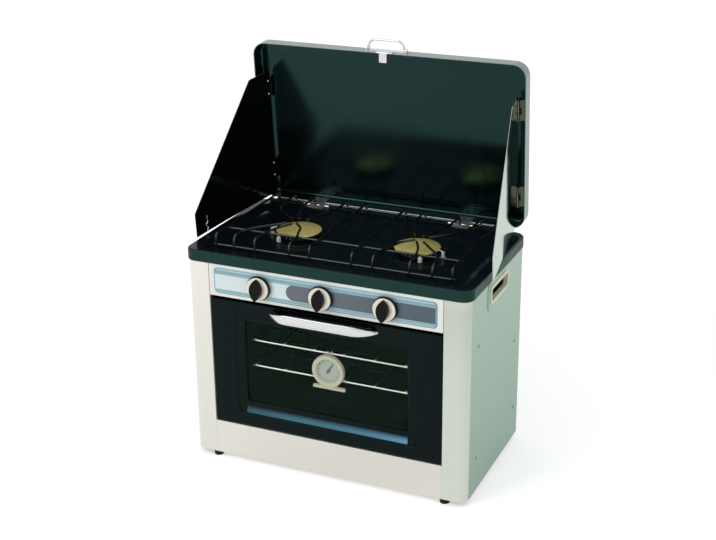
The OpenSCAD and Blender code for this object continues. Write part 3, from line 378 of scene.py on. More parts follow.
def roundRect(p0, p1, q0, q1, r, steps=8):
    ring = []
    corners = [(p1 - r, q0 + r, -90), (p1 - r, q1 - r, 0), (p0 + r, q1 - r, 90),
               (p0 + r, q0 + r, 180)]
    for cp, cq, start in corners:
        for i in range(steps + 1):
            a = math.radians(start + 90 * i / steps)
            ring.append((cp + r * math.cos(a), cq + r * math.sin(a)))
    return ring


def circle(r, steps=48, centre=(0, 0)):
    return [(centre[0] + r * math.cos(2 * math.pi * i / steps),
             centre[1] + r * math.sin(2 * math.pi * i / steps)) for i in range(steps)]


class Shape:
    def __init__(self):
        self.verts, self.faces, self.marks = [], [], []

    def loft(self, rings, place=planPlace, capStart=False, capEnd=False, marks=None):
        # rings are (outline, height), each outline with the same number of points
        base, n = len(self.verts), len(rings[0][0])
        for outline, h in rings:
            self.verts += [place(p, q, h) for p, q in outline]
        for k in range(len(rings) - 1):
            mark = marks[k] if marks else 0
            for i in range(n):
                j = (i + 1) % n
                a, b = base + k * n, base + (k + 1) * n
                self.faces.append((a + i, a + j, b + j, b + i))
                self.marks.append(mark)
        if capStart:
            self.faces.append(tuple(base + i for i in reversed(range(n))))
            self.marks.append(marks[0] if marks else 0)
        if capEnd:
            last = base + (len(rings) - 1) * n
            self.faces.append(tuple(last + i for i in range(n)))
            self.marks.append(marks[-1] if marks else 0)
        return self

    def tube(self, path, radius, sides=12):
        # a round wire along the points, with flat ends
        points = [Vector(p) for p in path]
        n, base = len(points), len(self.verts)
        along = []
        for i in range(n):
            a, b = points[max(i - 1, 0)], points[min(i + 1, n - 1)]
            along.append((b - a).normalized())
        across = along[0].orthogonal().normalized()
        for i in range(n):
            across = (across - along[i] * across.dot(along[i])).normalized()
            other = along[i].cross(across)
            for s in range(sides):
                a = 2 * math.pi * s / sides
                v = points[i] + (across * math.cos(a) + other * math.sin(a)) * radius
                self.verts.append(tuple(v))
        for i in range(n - 1):
            for s in range(sides):
                t = (s + 1) % sides
                a, b = base + i * sides, base + (i + 1) * sides
                self.faces.append((a + s, a + t, b + t, b + s))
                self.marks.append(0)
        self.faces.append(tuple(base + s for s in reversed(range(sides))))
        self.faces.append(tuple(base + (n - 1) * sides + s for s in range(sides)))
        self.marks += [0, 0]
        return self

    def make(self, name, body, finishes, sharp=32, thickness=0, offset=-1, inner=0):
        data = bpy.data.meshes.new(name)
        data.from_pydata([tuple(c * mm for c in v) for v in self.verts], [], self.faces)
        for finish in finishes:
            data.materials.append(finish)
        for poly, mark in zip(data.polygons, self.marks):
            poly.material_index = mark
        obj = bpy.data.objects.new(name, data)
        scene.collection.objects.link(obj)
        if thickness:
            mod = obj.modifiers.new("wall", "SOLIDIFY")
            mod.thickness, mod.offset = thickness * mm, offset
            mod.use_even_offset = True
            mod.material_offset = inner
            mod.material_offset_rim = inner
            bakeModifiers(obj)
        obj.data.shade_smooth()
        obj.data.set_sharp_from_angle(angle=math.radians(sharp))
        keep = obj.modifiers.new("flats", "WEIGHTED_NORMAL")
        keep.weight, keep.keep_sharp = 100, True
        bakeModifiers(obj)
        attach(obj, body)
        return obj


def bakeModifiers(obj):
    deps = bpy.context.evaluated_depsgraph_get()
    mesh = bpy.data.meshes.new_from_object(obj.evaluated_get(deps))
    obj.modifiers.clear()
    obj.data = mesh


def rounded(points, radius, steps=6, closed=False):
    # a path, or a closed outline, with its corners turned into smooth bends
    pts = [Vector(p) for p in points]
    path, last = ([], []) if closed else ([pts[0]], [pts[-1]])
    if closed:
        pts = [pts[-1]] + pts + [pts[0]]
    for a, b, c in zip(pts, pts[1:], pts[2:]):
        reach = min(radius, (b - a).length * 0.49, (c - b).length * 0.49)
        p, q = b + (a - b).normalized() * reach, b + (c - b).normalized() * reach
        for i in range(steps + 1):
            t = i / steps
            path.append(p * (1 - t) ** 2 + b * 2 * t * (1 - t) + q * t * t)
    return path + last


def rolledEdge(edge):
    # a quarter round from the wall to the top, as (inset, drop) pairs
    return [(edge * (1 - math.cos(a)), edge * (1 - math.sin(a)))
            for a in (math.radians(90 * i / 8) for i in range(1, 9))]


def turn(shape, profile, place, centre, steps=64, marks=None):
    # a lathe-turned piece: profile holds (radius, height) pairs
    rings = [(circle(max(r, 0.05), steps, centre), h) for r, h in profile]
    return shape.loft(rings, place, capStart=True, capEnd=True, marks=marks)


def newTree(name, inputs):
    tree = bpy.data.node_groups.new(name, "GeometryNodeTree")
    tree.interface.new_socket("Geometry", in_out="INPUT", socket_type="NodeSocketGeometry")
    for label, kind, value in inputs:
        s = tree.interface.new_socket(label, in_out="INPUT", socket_type=kind)
        s.default_value = value
    tree.interface.new_socket("Geometry", in_out="OUTPUT", socket_type="NodeSocketGeometry")
    return tree, tree.nodes.new("NodeGroupInput"), tree.nodes.new("NodeGroupOutput")


def domedHeads():
    # a domed rivet or screw head on every point, facing along the point's own direction
    tree, src, out = newTree("domedHeads", [("Radius", "NodeSocketFloat", 0.003),
                                            ("Height", "NodeSocketFloat", 0.0015)])
    add, link = tree.nodes.new, tree.links.new
    ball = add("GeometryNodeMeshUVSphere")
    ball.inputs["Segments"].default_value = 20
    ball.inputs["Rings"].default_value = 10
    link(src.outputs["Radius"], ball.inputs["Radius"])
    flat = add("ShaderNodeMath")
    flat.operation = "DIVIDE"
    link(src.outputs["Height"], flat.inputs[0])
    link(src.outputs["Radius"], flat.inputs[1])
    size = add("ShaderNodeCombineXYZ")
    size.inputs["X"].default_value = 1
    size.inputs["Y"].default_value = 1
    link(flat.outputs[0], size.inputs["Z"])
    squash = add("GeometryNodeTransform")
    link(ball.outputs["Mesh"], squash.inputs["Geometry"])
    link(size.outputs[0], squash.inputs["Scale"])
    facing = add("GeometryNodeInputNamedAttribute")
    facing.data_type = "FLOAT_VECTOR"
    facing.inputs["Name"].default_value = "facing"
    turnTo = add("FunctionNodeAlignRotationToVector")
    turnTo.axis = "Z"
    link(facing.outputs["Attribute"], turnTo.inputs["Vector"])
    copies = add("GeometryNodeInstanceOnPoints")
    link(src.outputs["Geometry"], copies.inputs["Points"])
    link(squash.outputs["Geometry"], copies.inputs["Instance"])
    link(turnTo.outputs["Rotation"], copies.inputs["Rotation"])
    finishTree(tree, copies.outputs["Instances"], out)
    return tree


def finishTree(tree, result, out):
    real = tree.nodes.new("GeometryNodeRealizeInstances")
    paint = tree.nodes.new("GeometryNodeSetMaterial")
    paint.name = "paint"
    tree.links.new(result, real.inputs["Geometry"])
    tree.links.new(real.outputs["Geometry"], paint.inputs["Geometry"])
    tree.links.new(paint.outputs["Geometry"], out.inputs[0])


def wireRow():
    # straight wires side by side, each lying along Y
    tree, src, out = newTree("wireRow", [("Count", "NodeSocketInt", 6),
                                         ("First", "NodeSocketVector", (0, 0, 0)),
                                         ("Pitch", "NodeSocketFloat", 0.06),
                                         ("Length", "NodeSocketFloat", 0.2),
                                         ("Wire Radius", "NodeSocketFloat", 0.0015)])
    add, link = tree.nodes.new, tree.links.new
    step = add("ShaderNodeCombineXYZ")
    link(src.outputs["Pitch"], step.inputs["X"])
    row = add("GeometryNodeMeshLine")
    link(src.outputs["Count"], row.inputs["Count"])
    link(src.outputs["First"], row.inputs["Start Location"])
    link(step.outputs[0], row.inputs["Offset"])
    end = add("ShaderNodeCombineXYZ")
    link(src.outputs["Length"], end.inputs["Y"])
    line = add("GeometryNodeCurvePrimitiveLine")
    link(end.outputs[0], line.inputs["End"])
    copies = add("GeometryNodeInstanceOnPoints")
    link(row.outputs["Mesh"], copies.inputs["Points"])
    link(line.outputs["Curve"], copies.inputs["Instance"])
    real = add("GeometryNodeRealizeInstances")
    link(copies.outputs["Instances"], real.inputs["Geometry"])
    section = add("GeometryNodeCurvePrimitiveCircle")
    section.inputs["Resolution"].default_value = 12
    link(src.outputs["Wire Radius"], section.inputs["Radius"])
    sweep = add("GeometryNodeCurveToMesh")
    sweep.inputs["Fill Caps"].default_value = True
    link(real.outputs["Geometry"], sweep.inputs["Curve"])
    link(section.outputs["Curve"], sweep.inputs["Profile Curve"])
    finishTree(tree, sweep.outputs["Mesh"], out)
    return tree


def ringOfBlocks():
    # small blocks standing round a circle, such as flame ports or dial marks
    tree, src, out = newTree("ringOfBlocks", [("Count", "NodeSocketInt", 24),
                                              ("Ring Radius", "NodeSocketFloat", 0.03),
                                              ("Block Size", "NodeSocketVector",
                                               (0.004, 0.001, 0.003)),
                                              ("Centre", "NodeSocketVector", (0, 0, 0)),
                                              ("Tilt", "NodeSocketVector", (0, 0, 0))])
    add, link = tree.nodes.new, tree.links.new
    ring = add("GeometryNodeMeshCircle")
    link(src.outputs["Count"], ring.inputs["Vertices"])
    link(src.outputs["Ring Radius"], ring.inputs["Radius"])
    block = add("GeometryNodeMeshCube")
    link(src.outputs["Block Size"], block.inputs["Size"])
    spot = add("GeometryNodeInputPosition")
    face = add("FunctionNodeAlignRotationToVector")
    face.axis = "X"
    link(spot.outputs["Position"], face.inputs["Vector"])
    copies = add("GeometryNodeInstanceOnPoints")
    link(ring.outputs["Mesh"], copies.inputs["Points"])
    link(block.outputs["Mesh"], copies.inputs["Instance"])
    link(face.outputs["Rotation"], copies.inputs["Rotation"])
    move = add("GeometryNodeTransform")
    link(copies.outputs["Instances"], move.inputs["Geometry"])
    link(src.outputs["Centre"], move.inputs["Translation"])
    link(src.outputs["Tilt"], move.inputs["Rotation"])
    finishTree(tree, move.outputs["Geometry"], out)
    return tree


def grow(name, body, tree, finish, sizes, points=None, facing=None, sharp=40):
    # runs one of the trees above and bakes it into a piece
    data = bpy.data.meshes.new(name)
    if points:
        data.from_pydata([tuple(c * mm for c in p) for p in points], [], [])
        attr = data.attributes.new("facing", "FLOAT_VECTOR", "POINT")
        for i, v in enumerate(facing):
            attr.data[i].vector = v
    obj = bpy.data.objects.new(name, data)
    scene.collection.objects.link(obj)
    mod = obj.modifiers.new("grow", "NODES")
    mod.node_group = tree
    tree.nodes["paint"].inputs["Material"].default_value = finish
    for item in tree.interface.items_tree:
        if item.item_type == "SOCKET" and item.in_out == "INPUT" and item.name in sizes:
            mod[item.identifier] = sizes[item.name]
    bakeModifiers(obj)
    obj.data.shade_smooth()
    obj.data.set_sharp_from_angle(angle=math.radians(sharp))
    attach(obj, body)
    return obj


heads, rows, marksRound = domedHeads(), wireRow(), ringOfBlocks()

print("controls")
panelBox = boxOf("control_panel")
controls = {"half": 229.5, "low": 339, "fieldX": 216.5, "fieldLow": 347.5, "fieldHigh": 393,
            "front": 149, "rise": 1.5, "wall": 1}


def controlPanel(c):
    # a flat face whose middle stands forward as a field with sloped edges
    outer = roundRect(-c["half"], c["half"], c["low"], panelBox[1].z, 0.6, 3)

    def field(wider, h):
        return (roundRect(-c["fieldX"] - wider, c["fieldX"] + wider, c["fieldLow"] - wider,
                          c["fieldHigh"] + wider, 5 + wider, 3), h)
    rings = [(outer, c["front"] - c["wall"]), (outer, c["front"] - 0.3),
             (roundRect(0.3 - c["half"], c["half"] - 0.3, c["low"] + 0.3,
                        panelBox[1].z - 0.3, 0.6, 3), c["front"]),
             field(2.6, c["front"]), field(1.7, c["front"] + 0.5), field(0.8, c["front"] + 1.2),
             field(0, c["front"] + c["rise"])]
    marks = [0, 0, 0, 1, 1, 1, 2]
    return Shape().loft(rings, frontPlace, capStart=True, capEnd=True, marks=marks)


panel = controlPanel(controls).make("controlPanelSkin", "cabinet",
                                    [blueSilver, fieldEdge, fieldFace])
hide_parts("control_panel")

# knobs
knob = {"pitch": 124, "height": 370, "skirt": 23.5, "disc": 21.5, "grip": 22, "gripLong": 41,
        "back": 154.3, "skirtDepth": 4.5, "discDepth": 4, "gripDepth": 11}


def lens(width, length, steps=14):
    # two arcs that meet in a point at each end
    r = (length * length + width * width) / (4 * width)
    a = math.asin(length / 2 / r)
    right = [(width / 2 - r + r * math.cos(t), r * math.sin(t))
             for t in (-a + 2 * a * i / steps for i in range(steps))]
    return right + [(-p, -q) for p, q in right]


def shifted(outline, dx, dz):
    return [(p + dx, q + dz) for p, q in outline]


def makeKnob(side, x, k):
    z, back = k["height"], k["back"]
    body = side + "_knob"
    skirtFront = back + k["skirtDepth"]
    skirt = Shape()
    turn(skirt, [(k["skirt"] - 1, back), (k["skirt"], back + 0.8),
                 (k["skirt"] - 0.4, skirtFront - 1), (k["skirt"] - 1.4, skirtFront),
                 (k["disc"] - 12.5, skirtFront)], frontPlace, (x, z))
    gripBack = skirtFront + k["discDepth"] - 1.2
    gripFront = skirtFront + k["discDepth"] + k["gripDepth"]
    steps = [(0, gripBack), (0, gripFront - 1.6), (-0.5, gripFront - 0.6),
             (-1.4, gripFront - 0.1), (-2.4, gripFront)]
    rings = [(shifted(lens(k["grip"] + g, k["gripLong"] + g), x, z), h) for g, h in steps]
    skirt.loft(rings, frontPlace, capStart=True, capEnd=True)
    obj = skirt.make(side + "Knob", body, [blackPlastic], 28)
    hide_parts(side + "_knob")
    disc = Shape()
    face = skirtFront + k["discDepth"]
    turn(disc, [(k["disc"] - 0.4, skirtFront + 0.05), (k["disc"], skirtFront + 0.5),
                (k["disc"], face - 1.4), (k["disc"] - 0.5, face - 0.4),
                (k["disc"] - 1.4, face), (k["disc"] - 6, face - 0.2),
                (4, face - 0.3)], frontPlace, (x, z))
    plate = disc.make(side + "KnobDisc", body, [discSilver], 40)
    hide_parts(side + "_knob_disc")


for side, x in (("left", -1), ("middle", 0), ("right", 1)):
    makeKnob(side, x * knob["pitch"], knob)

print("hob and burners")
pan = {"edge": 4, "corner": 22, "rimSide": 20, "rimFront": 22, "rimBack": 30, "slope": 15,
       "depth": 8}


def hobPan(c):
    # rounded rim, then a recess with sloping walls
    lo, hi = boxOf("hob_pan")

    def outer(inset, h):
        return (roundRect(lo.x + inset, hi.x - inset, lo.y + inset, hi.y - inset,
                          c["corner"] - inset, 10), h)

    def inner(inset, h, r):
        return (roundRect(lo.x + c["rimSide"] + inset, hi.x - c["rimSide"] - inset,
                          lo.y + c["rimFront"] + inset, hi.y - c["rimBack"] - inset, r, 10), h)
    top = hi.z
    rings = [outer(0.6, lo.z), outer(0, lo.z + 0.8), outer(0, top - c["edge"])]
    rings += [outer(inset, top - drop) for inset, drop in rolledEdge(c["edge"])]
    floorZ = top - c["depth"]
    rings += [inner(-2.5, top, 22), inner(-1, top - 0.25, 21), inner(0.5, top - 1.1, 20),
              inner(c["slope"] - 3, floorZ + 1.1, 12), inner(c["slope"] - 1, floorZ + 0.3, 11),
              inner(c["slope"] + 1.5, floorZ, 10)]
    # painted teal reflection on the rim wall, up to the middle of the rolled edge
    marks = [1] * 6 + [0] * 10  # green up to the middle of the rolled edge
    shape = Shape().loft(rings, capEnd=True, marks=marks)
    return shape.make("hobPan", "cabinet", [blackEnamel, panEdge], 40, 1.0)


panObj = hobPan(pan)
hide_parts("hob_pan")

burner = {"x": 120, "y": 8, "floor": 416, "capRadius": 43, "headRadius": 37, "capBase": 427,
          "wellRadius": 55, "ports": 28, "portRing": 37.2, "port": (2, 2.2, 5)}


def burnerParts(b):
    cap, head, well = Shape(), Shape(), Shape()
    r, z = b["capRadius"], b["capBase"]
    for side in (-1, 1):
        centre = (side * b["x"], b["y"])
        turn(cap, [(r - 3, z), (r - 0.6, z + 0.2), (r, z + 1.2), (r - 0.8, z + 2.2),
                   (r - 3, z + 2.9), (r - 12, z + 4.8), (r - 22, z + 5.9), (14, z + 6.3),
                   (0.5, z + 6.5)], planPlace, centre)
        h, w, low = b["headRadius"], b["wellRadius"], b["floor"]
        turn(head, [(h - 6, low), (h - 6, low + 3), (h - 1, low + 3.4), (h, low + 4.4),
                    (h, z - 0.2), (h - 7, z)], planPlace, centre)
        turn(well, [(w + 5, low - 0.5), (w + 2.5, low + 0.9), (w, low + 1.2),
                    (w - 2.5, low + 0.9), (w - 5, low - 0.5)], planPlace, centre)
    capObj = cap.make("burnerCaps", "cabinet", [brass], 30)
    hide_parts("burner_caps")
    headObj = head.make("burnerHeads", "cabinet", [castIron], 30)
    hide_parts("burner_heads")
    well.make("burnerWells", "cabinet", [blackEnamel], 50)
    for side, name in ((-1, "left"), (1, "right")):
        ports = grow(name + "FlamePorts", "cabinet", marksRound, zinc,
                     {"Count": b["ports"], "Ring Radius": b["portRing"] * mm,
                      "Block Size": tuple(v * mm for v in b["port"]),
                      "Centre": (side * b["x"] * mm, b["y"] * mm, (z - 3.2) * mm)})


burnerParts(burner)

# the wire grate, on the heights and rods of its CAD node
grate = {"wire": 4.5, "top": 445.5, "front": -112, "back": 148, "frontRod": 425, "backRod": 433,
         "second": -63, "floor": 416, "rim": 424, "bend": 7, "rails": (41.5, 231.5),
         "half": 235.5, "fingerBend": 14}
frontFingers = [  # from the front leg to the tip over the right burner
    [(82, -92), (86, -70), (95, -44), (100, -24), (118.5, -6)],
    [(152, -95), (147, -62), (139, -36), (127, -14)],
    [(194.5, -88), (183, -58), (160, -34), (142, -12)],
]
backFingers = [
    [(82, 96), (86, 74), (97, 52), (108, 24)],
    [(152, 96), (148, 74), (139, 50), (127, 24)],
    [(194.5, 92), (188, 66), (170, 44), (142, 20)],
]


def panGrate(g):
    shape = Shape()
    r, top = g["wire"] / 2, g["top"]
    for side in (-1, 1):
        for x in g["rails"]:
            shape.tube(rounded([(side * x, g["front"], g["floor"]), (side * x, g["front"], top),
                                (side * x, g["back"], top), (side * x, g["back"], g["rim"])],
                               g["bend"]), r)
        for way, fingers in ((g["front"], frontFingers), (g["back"], backFingers)):
            for f in fingers:
                foot = g["floor"] if way < 0 else g["backRod"] - g["wire"]
                path = [(side * f[0][0], way, foot), (side * f[0][0], way, top)]
                path += [(side * px, py, top) for px, py in f]
                path.append((side * (f[-1][0] * 0.85 + burner["x"] * 0.15),
                             f[-1][1] * 0.85 + burner["y"] * 0.15, top - 0.4))
                shape.tube(rounded(path, g["fingerBend"], 5), r)
    end = g["half"]
    for y, z in ((g["front"] + 0.9, g["frontRod"]), (g["second"], top - g["wire"] + 0.4),
                 (g["back"] - 0.9, g["backRod"])):
        shape.tube([(-end, y, z), (end, y, z)], r)
    return shape.make("panGrate", "cabinet", [grateEnamel], 40)


grateObj = panGrate(grate)
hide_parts("pan_grate")

print("lid and wind panels")
lid = {"half": 275, "tall": 320, "front": 3, "back": 33, "corner": 26, "edge": 6, "border": 28}


def lidShell(c):
    # a tray with a rolled rim, and a faint pressed border on its outside
    def ring(inset, h, r=None):
        return (roundRect(-c["half"] + inset, c["half"] - inset, inset, c["tall"] - inset,
                          r or c["corner"] - inset * 0.9, 12), h)
    rings = [ring(1.6, c["front"] + 1.0), ring(1.0, c["front"] + 0.2), ring(0.3, c["front"]),
             ring(0, c["front"] + 0.8), ring(0, c["back"] - c["edge"])]
    rings += [ring(inset, c["back"] - drop) for inset, drop in rolledEdge(c["edge"])]
    b = c["border"]
    rings += [ring(b - 3, c["back"], 16), ring(b - 1.6, c["back"] - 0.5, 15),
              ring(b + 1.6, c["back"] - 0.5, 13), ring(b + 3, c["back"], 12)]
    shape = Shape().loft(rings, lidPlace, capEnd=True)
    return shape.make("lidShell", "lid", [lidOutside, lidInside], 40, 1.0, -1, 1)


lidObj = lidShell(lid)
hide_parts("lid_shell")

flange = {"half": 256, "hinge": 153, "gap": 27, "front": 152.6, "back": 153.8, "foot": 423.4,
          "top": 429.6}


def panFlange(c):
    # folded edge that stands up behind the grate, open where the lid's hinges sit, with the pan
    # edge's painted teal reflection
    shape = Shape()
    inner, outer = c["hinge"] - c["gap"], c["hinge"] + c["gap"]
    for x0, x1 in ((-c["half"], -outer), (-inner, inner), (outer, c["half"])):
        outline = roundRect(x0, x1, c["front"], c["back"], 0.5, 2)
        shape.loft([(outline, c["foot"]), (outline, c["top"])], capStart=True, capEnd=True)
    return shape.make("panFlange", "cabinet", [panEdge], 40)


panFlange(flange)

wind = {"x": 254, "low": 3.4, "rise": 3.4, "tall": 255, "front": 48, "reach": 268,
        "slopeStart": 70, "lowStart": 176, "hingeGap": 4, "corner": 3,
        "swing": math.radians(8.55), "leftDepth": 28, "rightDepth": 25.5, "thick": 1}


def windPlace(side):
    depth = wind["rightDepth"] if side > 0 else wind["leftDepth"]

    def place(p, q, h):  # p away from the hinge, q up, h outwards through the sheet
        x = wind["x"] + h * math.cos(wind["swing"]) + p * math.sin(wind["swing"])
        n = depth + h * math.sin(wind["swing"]) - p * math.cos(wind["swing"])
        return lidPlace(-side * x, q, n)
    return place


def windPanel(side, w):
    top, foot = w["low"] + w["tall"], w["low"] + w["rise"]
    corners = [(w["hingeGap"], w["low"]), (w["lowStart"], foot), (w["reach"], foot),
               (w["reach"], foot + w["front"]), (w["slopeStart"], top), (w["hingeGap"], top)]
    outline = [tuple(v) for v in rounded(corners, w["corner"], 4, closed=True)]
    half = w["thick"] / 2
    shape = Shape().loft([(outline, -half), (outline, half)], windPlace(side))
    count = len(outline)
    shape.faces += [tuple(reversed(range(count))), tuple(range(count, 2 * count))]
    shape.marks += [1, 2]
    if side > 0:
        shape.faces = [tuple(reversed(f)) for f in shape.faces]
    word = "right" if side > 0 else "left"
    obj = shape.make(word + "WindPanel", word + "_wind", [zinc, windInside, windOutside], 30)
    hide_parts(word + "_wind_panel")


windPanel(-1, wind)
windPanel(1, wind)

bail = {"depth": 18, "base": 324, "half": 35, "rise": 17, "radius": 2, "pin": 6.5, "bevel": 9}


def bailHandle(b):
    top = b["base"] + b["rise"]
    right = [(b["half"] - b["bevel"], top), (b["half"], b["base"] + b["rise"] * 0.6),
             (b["half"], b["base"]), (b["half"] + b["pin"], b["base"])]
    left = [(-p, q) for p, q in reversed(right)]
    path = rounded([lidPlace(p, q, b["depth"]) for p, q in left + right], 2.5)
    obj = Shape().tube(path, b["radius"], 14).make("bailWire", "bail", [smallChrome], 40)
    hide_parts("bail_handle")


bailHandle(bail)

print("door")
door = {"half": 229, "low": 80, "high": 333, "front": 148, "depth": 17, "frameX": 181,
        "frameLow": 105, "frameHigh": 312, "paneX": 162.5, "paneLow": 129, "paneHigh": 296.5,
        "step": 4}


def doorSkin(d):
    # flat skin, a stepped frame, and the lip round the pane
    def rect(x, low, high, r, h):
        return (roundRect(-x, x, low, high, r, 8), h)
    f = d["front"]
    rings = [rect(d["half"] - i, d["low"] + i, d["high"] - i, 1.5, f - h)
             for i, h in ((0, d["depth"]), (0, 1.6), (0.5, 0.5), (1.6, 0))]
    rings += [rect(d["frameX"] + i, d["frameLow"] - i, d["frameHigh"] + i, r, f - h)
              for i, r, h in ((2, 12, 0), (0.6, 10.6, 0.7), (0, 10, 2), (-1.5, 9, d["step"]))]
    rings += [rect(d["paneX"] + i, d["paneLow"] - i, d["paneHigh"] + i, r, f - d["step"] - h)
              for i, r, h in ((2, 10, 0), (0.5, 8.5, 0.4), (0, 8, 0.95))]
    return Shape().loft(rings, frontPlace)


doorObj = doorSkin(door).make("doorSkin", "door", [doorEnamel], 40, 0.9)
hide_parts("door_outer")


sill = {"half": 163, "low": 107, "lip": 1.6, "rise": 13.5}


def doorSill(c, d):
    z, top, f = c["low"], c["low"] + c["rise"], d["front"]
    outline = [(-f + 0.6, z), (-f + 0.6, z + c["lip"]), (-f + d["step"] - 0.2, top),
               (-f + d["step"] + 0.3, top), (-f + d["step"] + 0.3, z)]

    def place(p, q, h):
        return (h, p, q)
    return Shape().loft([(outline, -c["half"]), (outline, c["half"])], place,
                        capStart=True, capEnd=True)


# the sill carries the painted blue sheen and shade
sillObj = doorSill(sill, door).make("doorSill", "door", [sillPaintedSheen], 20)

bar = {"half": 65, "bend": 50, "thick": 3.6, "tall": 18, "top": 331.5, "reach": 24,
       "taperFrom": 66, "endTall": 6, "endTop": 322}


def doorHandle(b, d):
    # a flat bar whose ends bend back to the door and taper on the way
    y = -d["front"] - b["reach"] + b["thick"] / 2
    r = b["bend"] - b["thick"] / 2
    last = math.acos((r + y + d["front"]) / r)
    bend = [Vector((b["half"] + r * math.sin(a), y + r - r * math.cos(a)))
            for a in (last * i / 12 for i in range(13))]
    endX = bend[-1].x
    path = [Vector((-v.x, v.y)) for v in reversed(bend)] + bend
    dense = []
    for a, c in zip(path, path[1:]):
        count = max(1, int((c - a).length / 6))
        dense += [a + (c - a) * i / count for i in range(count)]
    dense.append(path[-1])
    shape, base, n = Shape(), 0, 0
    for i, p in enumerate(dense):
        a, c = dense[max(i - 1, 0)], dense[min(i + 1, len(dense) - 1)]
        along = (c - a).normalized()
        normal = Vector((along.y, -along.x))
        span = max(0.0, (abs(p.x) - b["taperFrom"]) / (endX - b["taperFrom"]))
        tall = b["tall"] - (b["tall"] - b["endTall"]) * span ** 1.4
        top = b["top"] - (b["top"] - b["endTop"]) * span ** 1.4
        section = roundRect(-b["thick"] / 2, b["thick"] / 2, -tall, 0, 1.3, 3)
        n = len(section)
        for s, t in section:
            bow = 0.9 * math.sin(math.pi * min(1, -t / tall)) if s > 0 else 0
            shape.verts.append((p.x + normal.x * (s + bow), p.y + normal.y * (s + bow),
                                top + t))
        if i:
            for k in range(n):
                j = (k + 1) % n
                shape.faces.append((base + k, base + j, base + n + j, base + n + k))
                shape.marks.append(0)
            base += n
    shape.faces.append(tuple(range(n)))
    shape.faces.append(tuple(base + k for k in range(n)))
    shape.marks += [0, 0]
    obj = shape.make("doorHandle", "door", [handleChrome], 40)
    mesh = bmesh.new()
    mesh.from_mesh(obj.data)
    bmesh.ops.recalc_face_normals(mesh, faces=mesh.faces)
    mesh.to_mesh(obj.data)
    mesh.free()
    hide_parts("door_handle")


doorHandle(bar, door)

print("racks and thermometer")
rackSize = {"rod": 4, "wire": 3, "half": 158, "tie": 151, "ties": 6, "front": 1.5, "back": 3}


def ovenRack(name, node, body, r):
    lo, hi = boxOf(node)
    z = lo.z + r["rod"] / 2
    y0, y1 = lo.y + r["front"], hi.y - r["back"]
    shape = Shape()
    for y in (y0, y1):
        shape.tube([(-r["half"], y, z), (r["half"], y, z)], r["rod"] / 2)
    for i in (1, 2, 3):
        y = y0 + i * (y1 - y0) / 4
        shape.tube([(-r["half"], y, z + 0.5), (r["half"], y, z + 0.5)], r["wire"] / 2)
    frameObj = shape.make(name + "Rods", body, [rackWire], 40)
    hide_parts(node)
    first = (-r["tie"] * mm, (y0 - r["front"]) * mm,
             (z + r["rod"] / 2 + r["wire"] / 2 - 0.5) * mm)
    ties = grow(name + "Ties", body, rows, rackWire,
                {"Count": r["ties"], "First": first,
                 "Pitch": 2 * r["tie"] / (r["ties"] - 1) * mm,
                 "Length": (y1 - y0 + r["front"] + r["back"]) * mm,
                 "Wire Radius": r["wire"] / 2 * mm})


ovenRack("upperRack", "upper_rack", "upper_rack", rackSize)
ovenRack("lowerRack", "lower_rack", "lower_rack", rackSize)

dial = {"z": 215.5, "radius": 32, "bezel": 8.5, "front": 133.8, "back": 124.3, "face": 126.8,
        "footFront": 128.7, "neckFront": 127.5, "tickFace": 127.45, "hookX": 4.2,
        "hookWire": 0.7, "hookFront": 124.9, "hookBack": 119, "hookTop": 251.5, "hookEnd": 243}


def thermometer(d):
    case = Shape()
    r, inner = d["radius"], d["radius"] - d["bezel"]
    turn(case, [(r - 1.5, d["back"]), (r, d["back"] + 1.5), (r, d["front"] - 2.4),
                (r - 0.7, d["front"] - 0.7), (r - 2, d["front"]), (inner + 1, d["front"] - 0.3),
                (inner, d["front"] - 1.3), (inner, d["face"]), (0.5, d["face"])],
         frontPlace, (0, d["z"]))
    low = d["z"] - r - 6
    foot = [(-r, low), (r, low), (r, low + 5), (r - 4, low + 6.5), (4 - r, low + 6.5),
            (-r, low + 5)]
    case.loft([(foot, d["back"]), (foot, d["footFront"])], frontPlace, True, True)
    neck = [(-19, d["z"] - r - 1), (19, d["z"] - r - 1), (14, d["z"] - r + 6),
            (-14, d["z"] - r + 6)]
    case.loft([(neck, d["back"]), (neck, d["neckFront"])], frontPlace, True, True)
    hook = [(-d["hookFront"], d["z"] + r - 4), (-d["hookFront"], d["hookTop"]),
            (-d["hookBack"], d["hookTop"]), (-d["hookBack"], d["hookEnd"])]
    for x in (-d["hookX"], d["hookX"]):
        case.tube(rounded([(x, y, z) for y, z in hook], 2, 4), d["hookWire"], 8)
    obj = case.make("thermometerCase", "upper_rack", [bezelCream], 35)
    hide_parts("thermometer_case")
    tilt = (math.radians(90), 0, 0)
    for name, count, ringR, size in (("dialTicks", 48, 21.5, (1.8, 0.35, 0.2)),
                                     ("dialMarks", 12, 20.2, (3.6, 0.8, 0.2))):
        ticks = grow(name, "upper_rack", marksRound, dialInk,
                     {"Count": count, "Ring Radius": ringR * mm,
                      "Block Size": tuple(s * mm for s in size),
                      "Centre": (0, -d["tickFace"] * mm, d["z"] * mm), "Tilt": tilt})


thermometer(dial)

print("fasteners")
screw = {"radius": 3.4, "height": 1.3, "sideX": 277, "backX": 270, "backY": 149,
         "sideSpots": ((116, 221), (121, 77), (-96, 77), (-96, 300)),
         "backHeights": (30, 212, 388)}


def panelScrews(c):
    spots, way = [], []
    for side in (-1, 1):
        for y, z in c["sideSpots"]:
            spots.append((side * c["sideX"], y, z))
            way.append((side, 0, 0))
        for z in c["backHeights"]:
            spots.append((side * c["backX"], c["backY"], z))
            way.append((0, 1, 0))
    return grow("panelScrews", "cabinet", heads, screwGrey,
                {"Radius": c["radius"] * mm, "Height": c["height"] * mm}, spots, way)


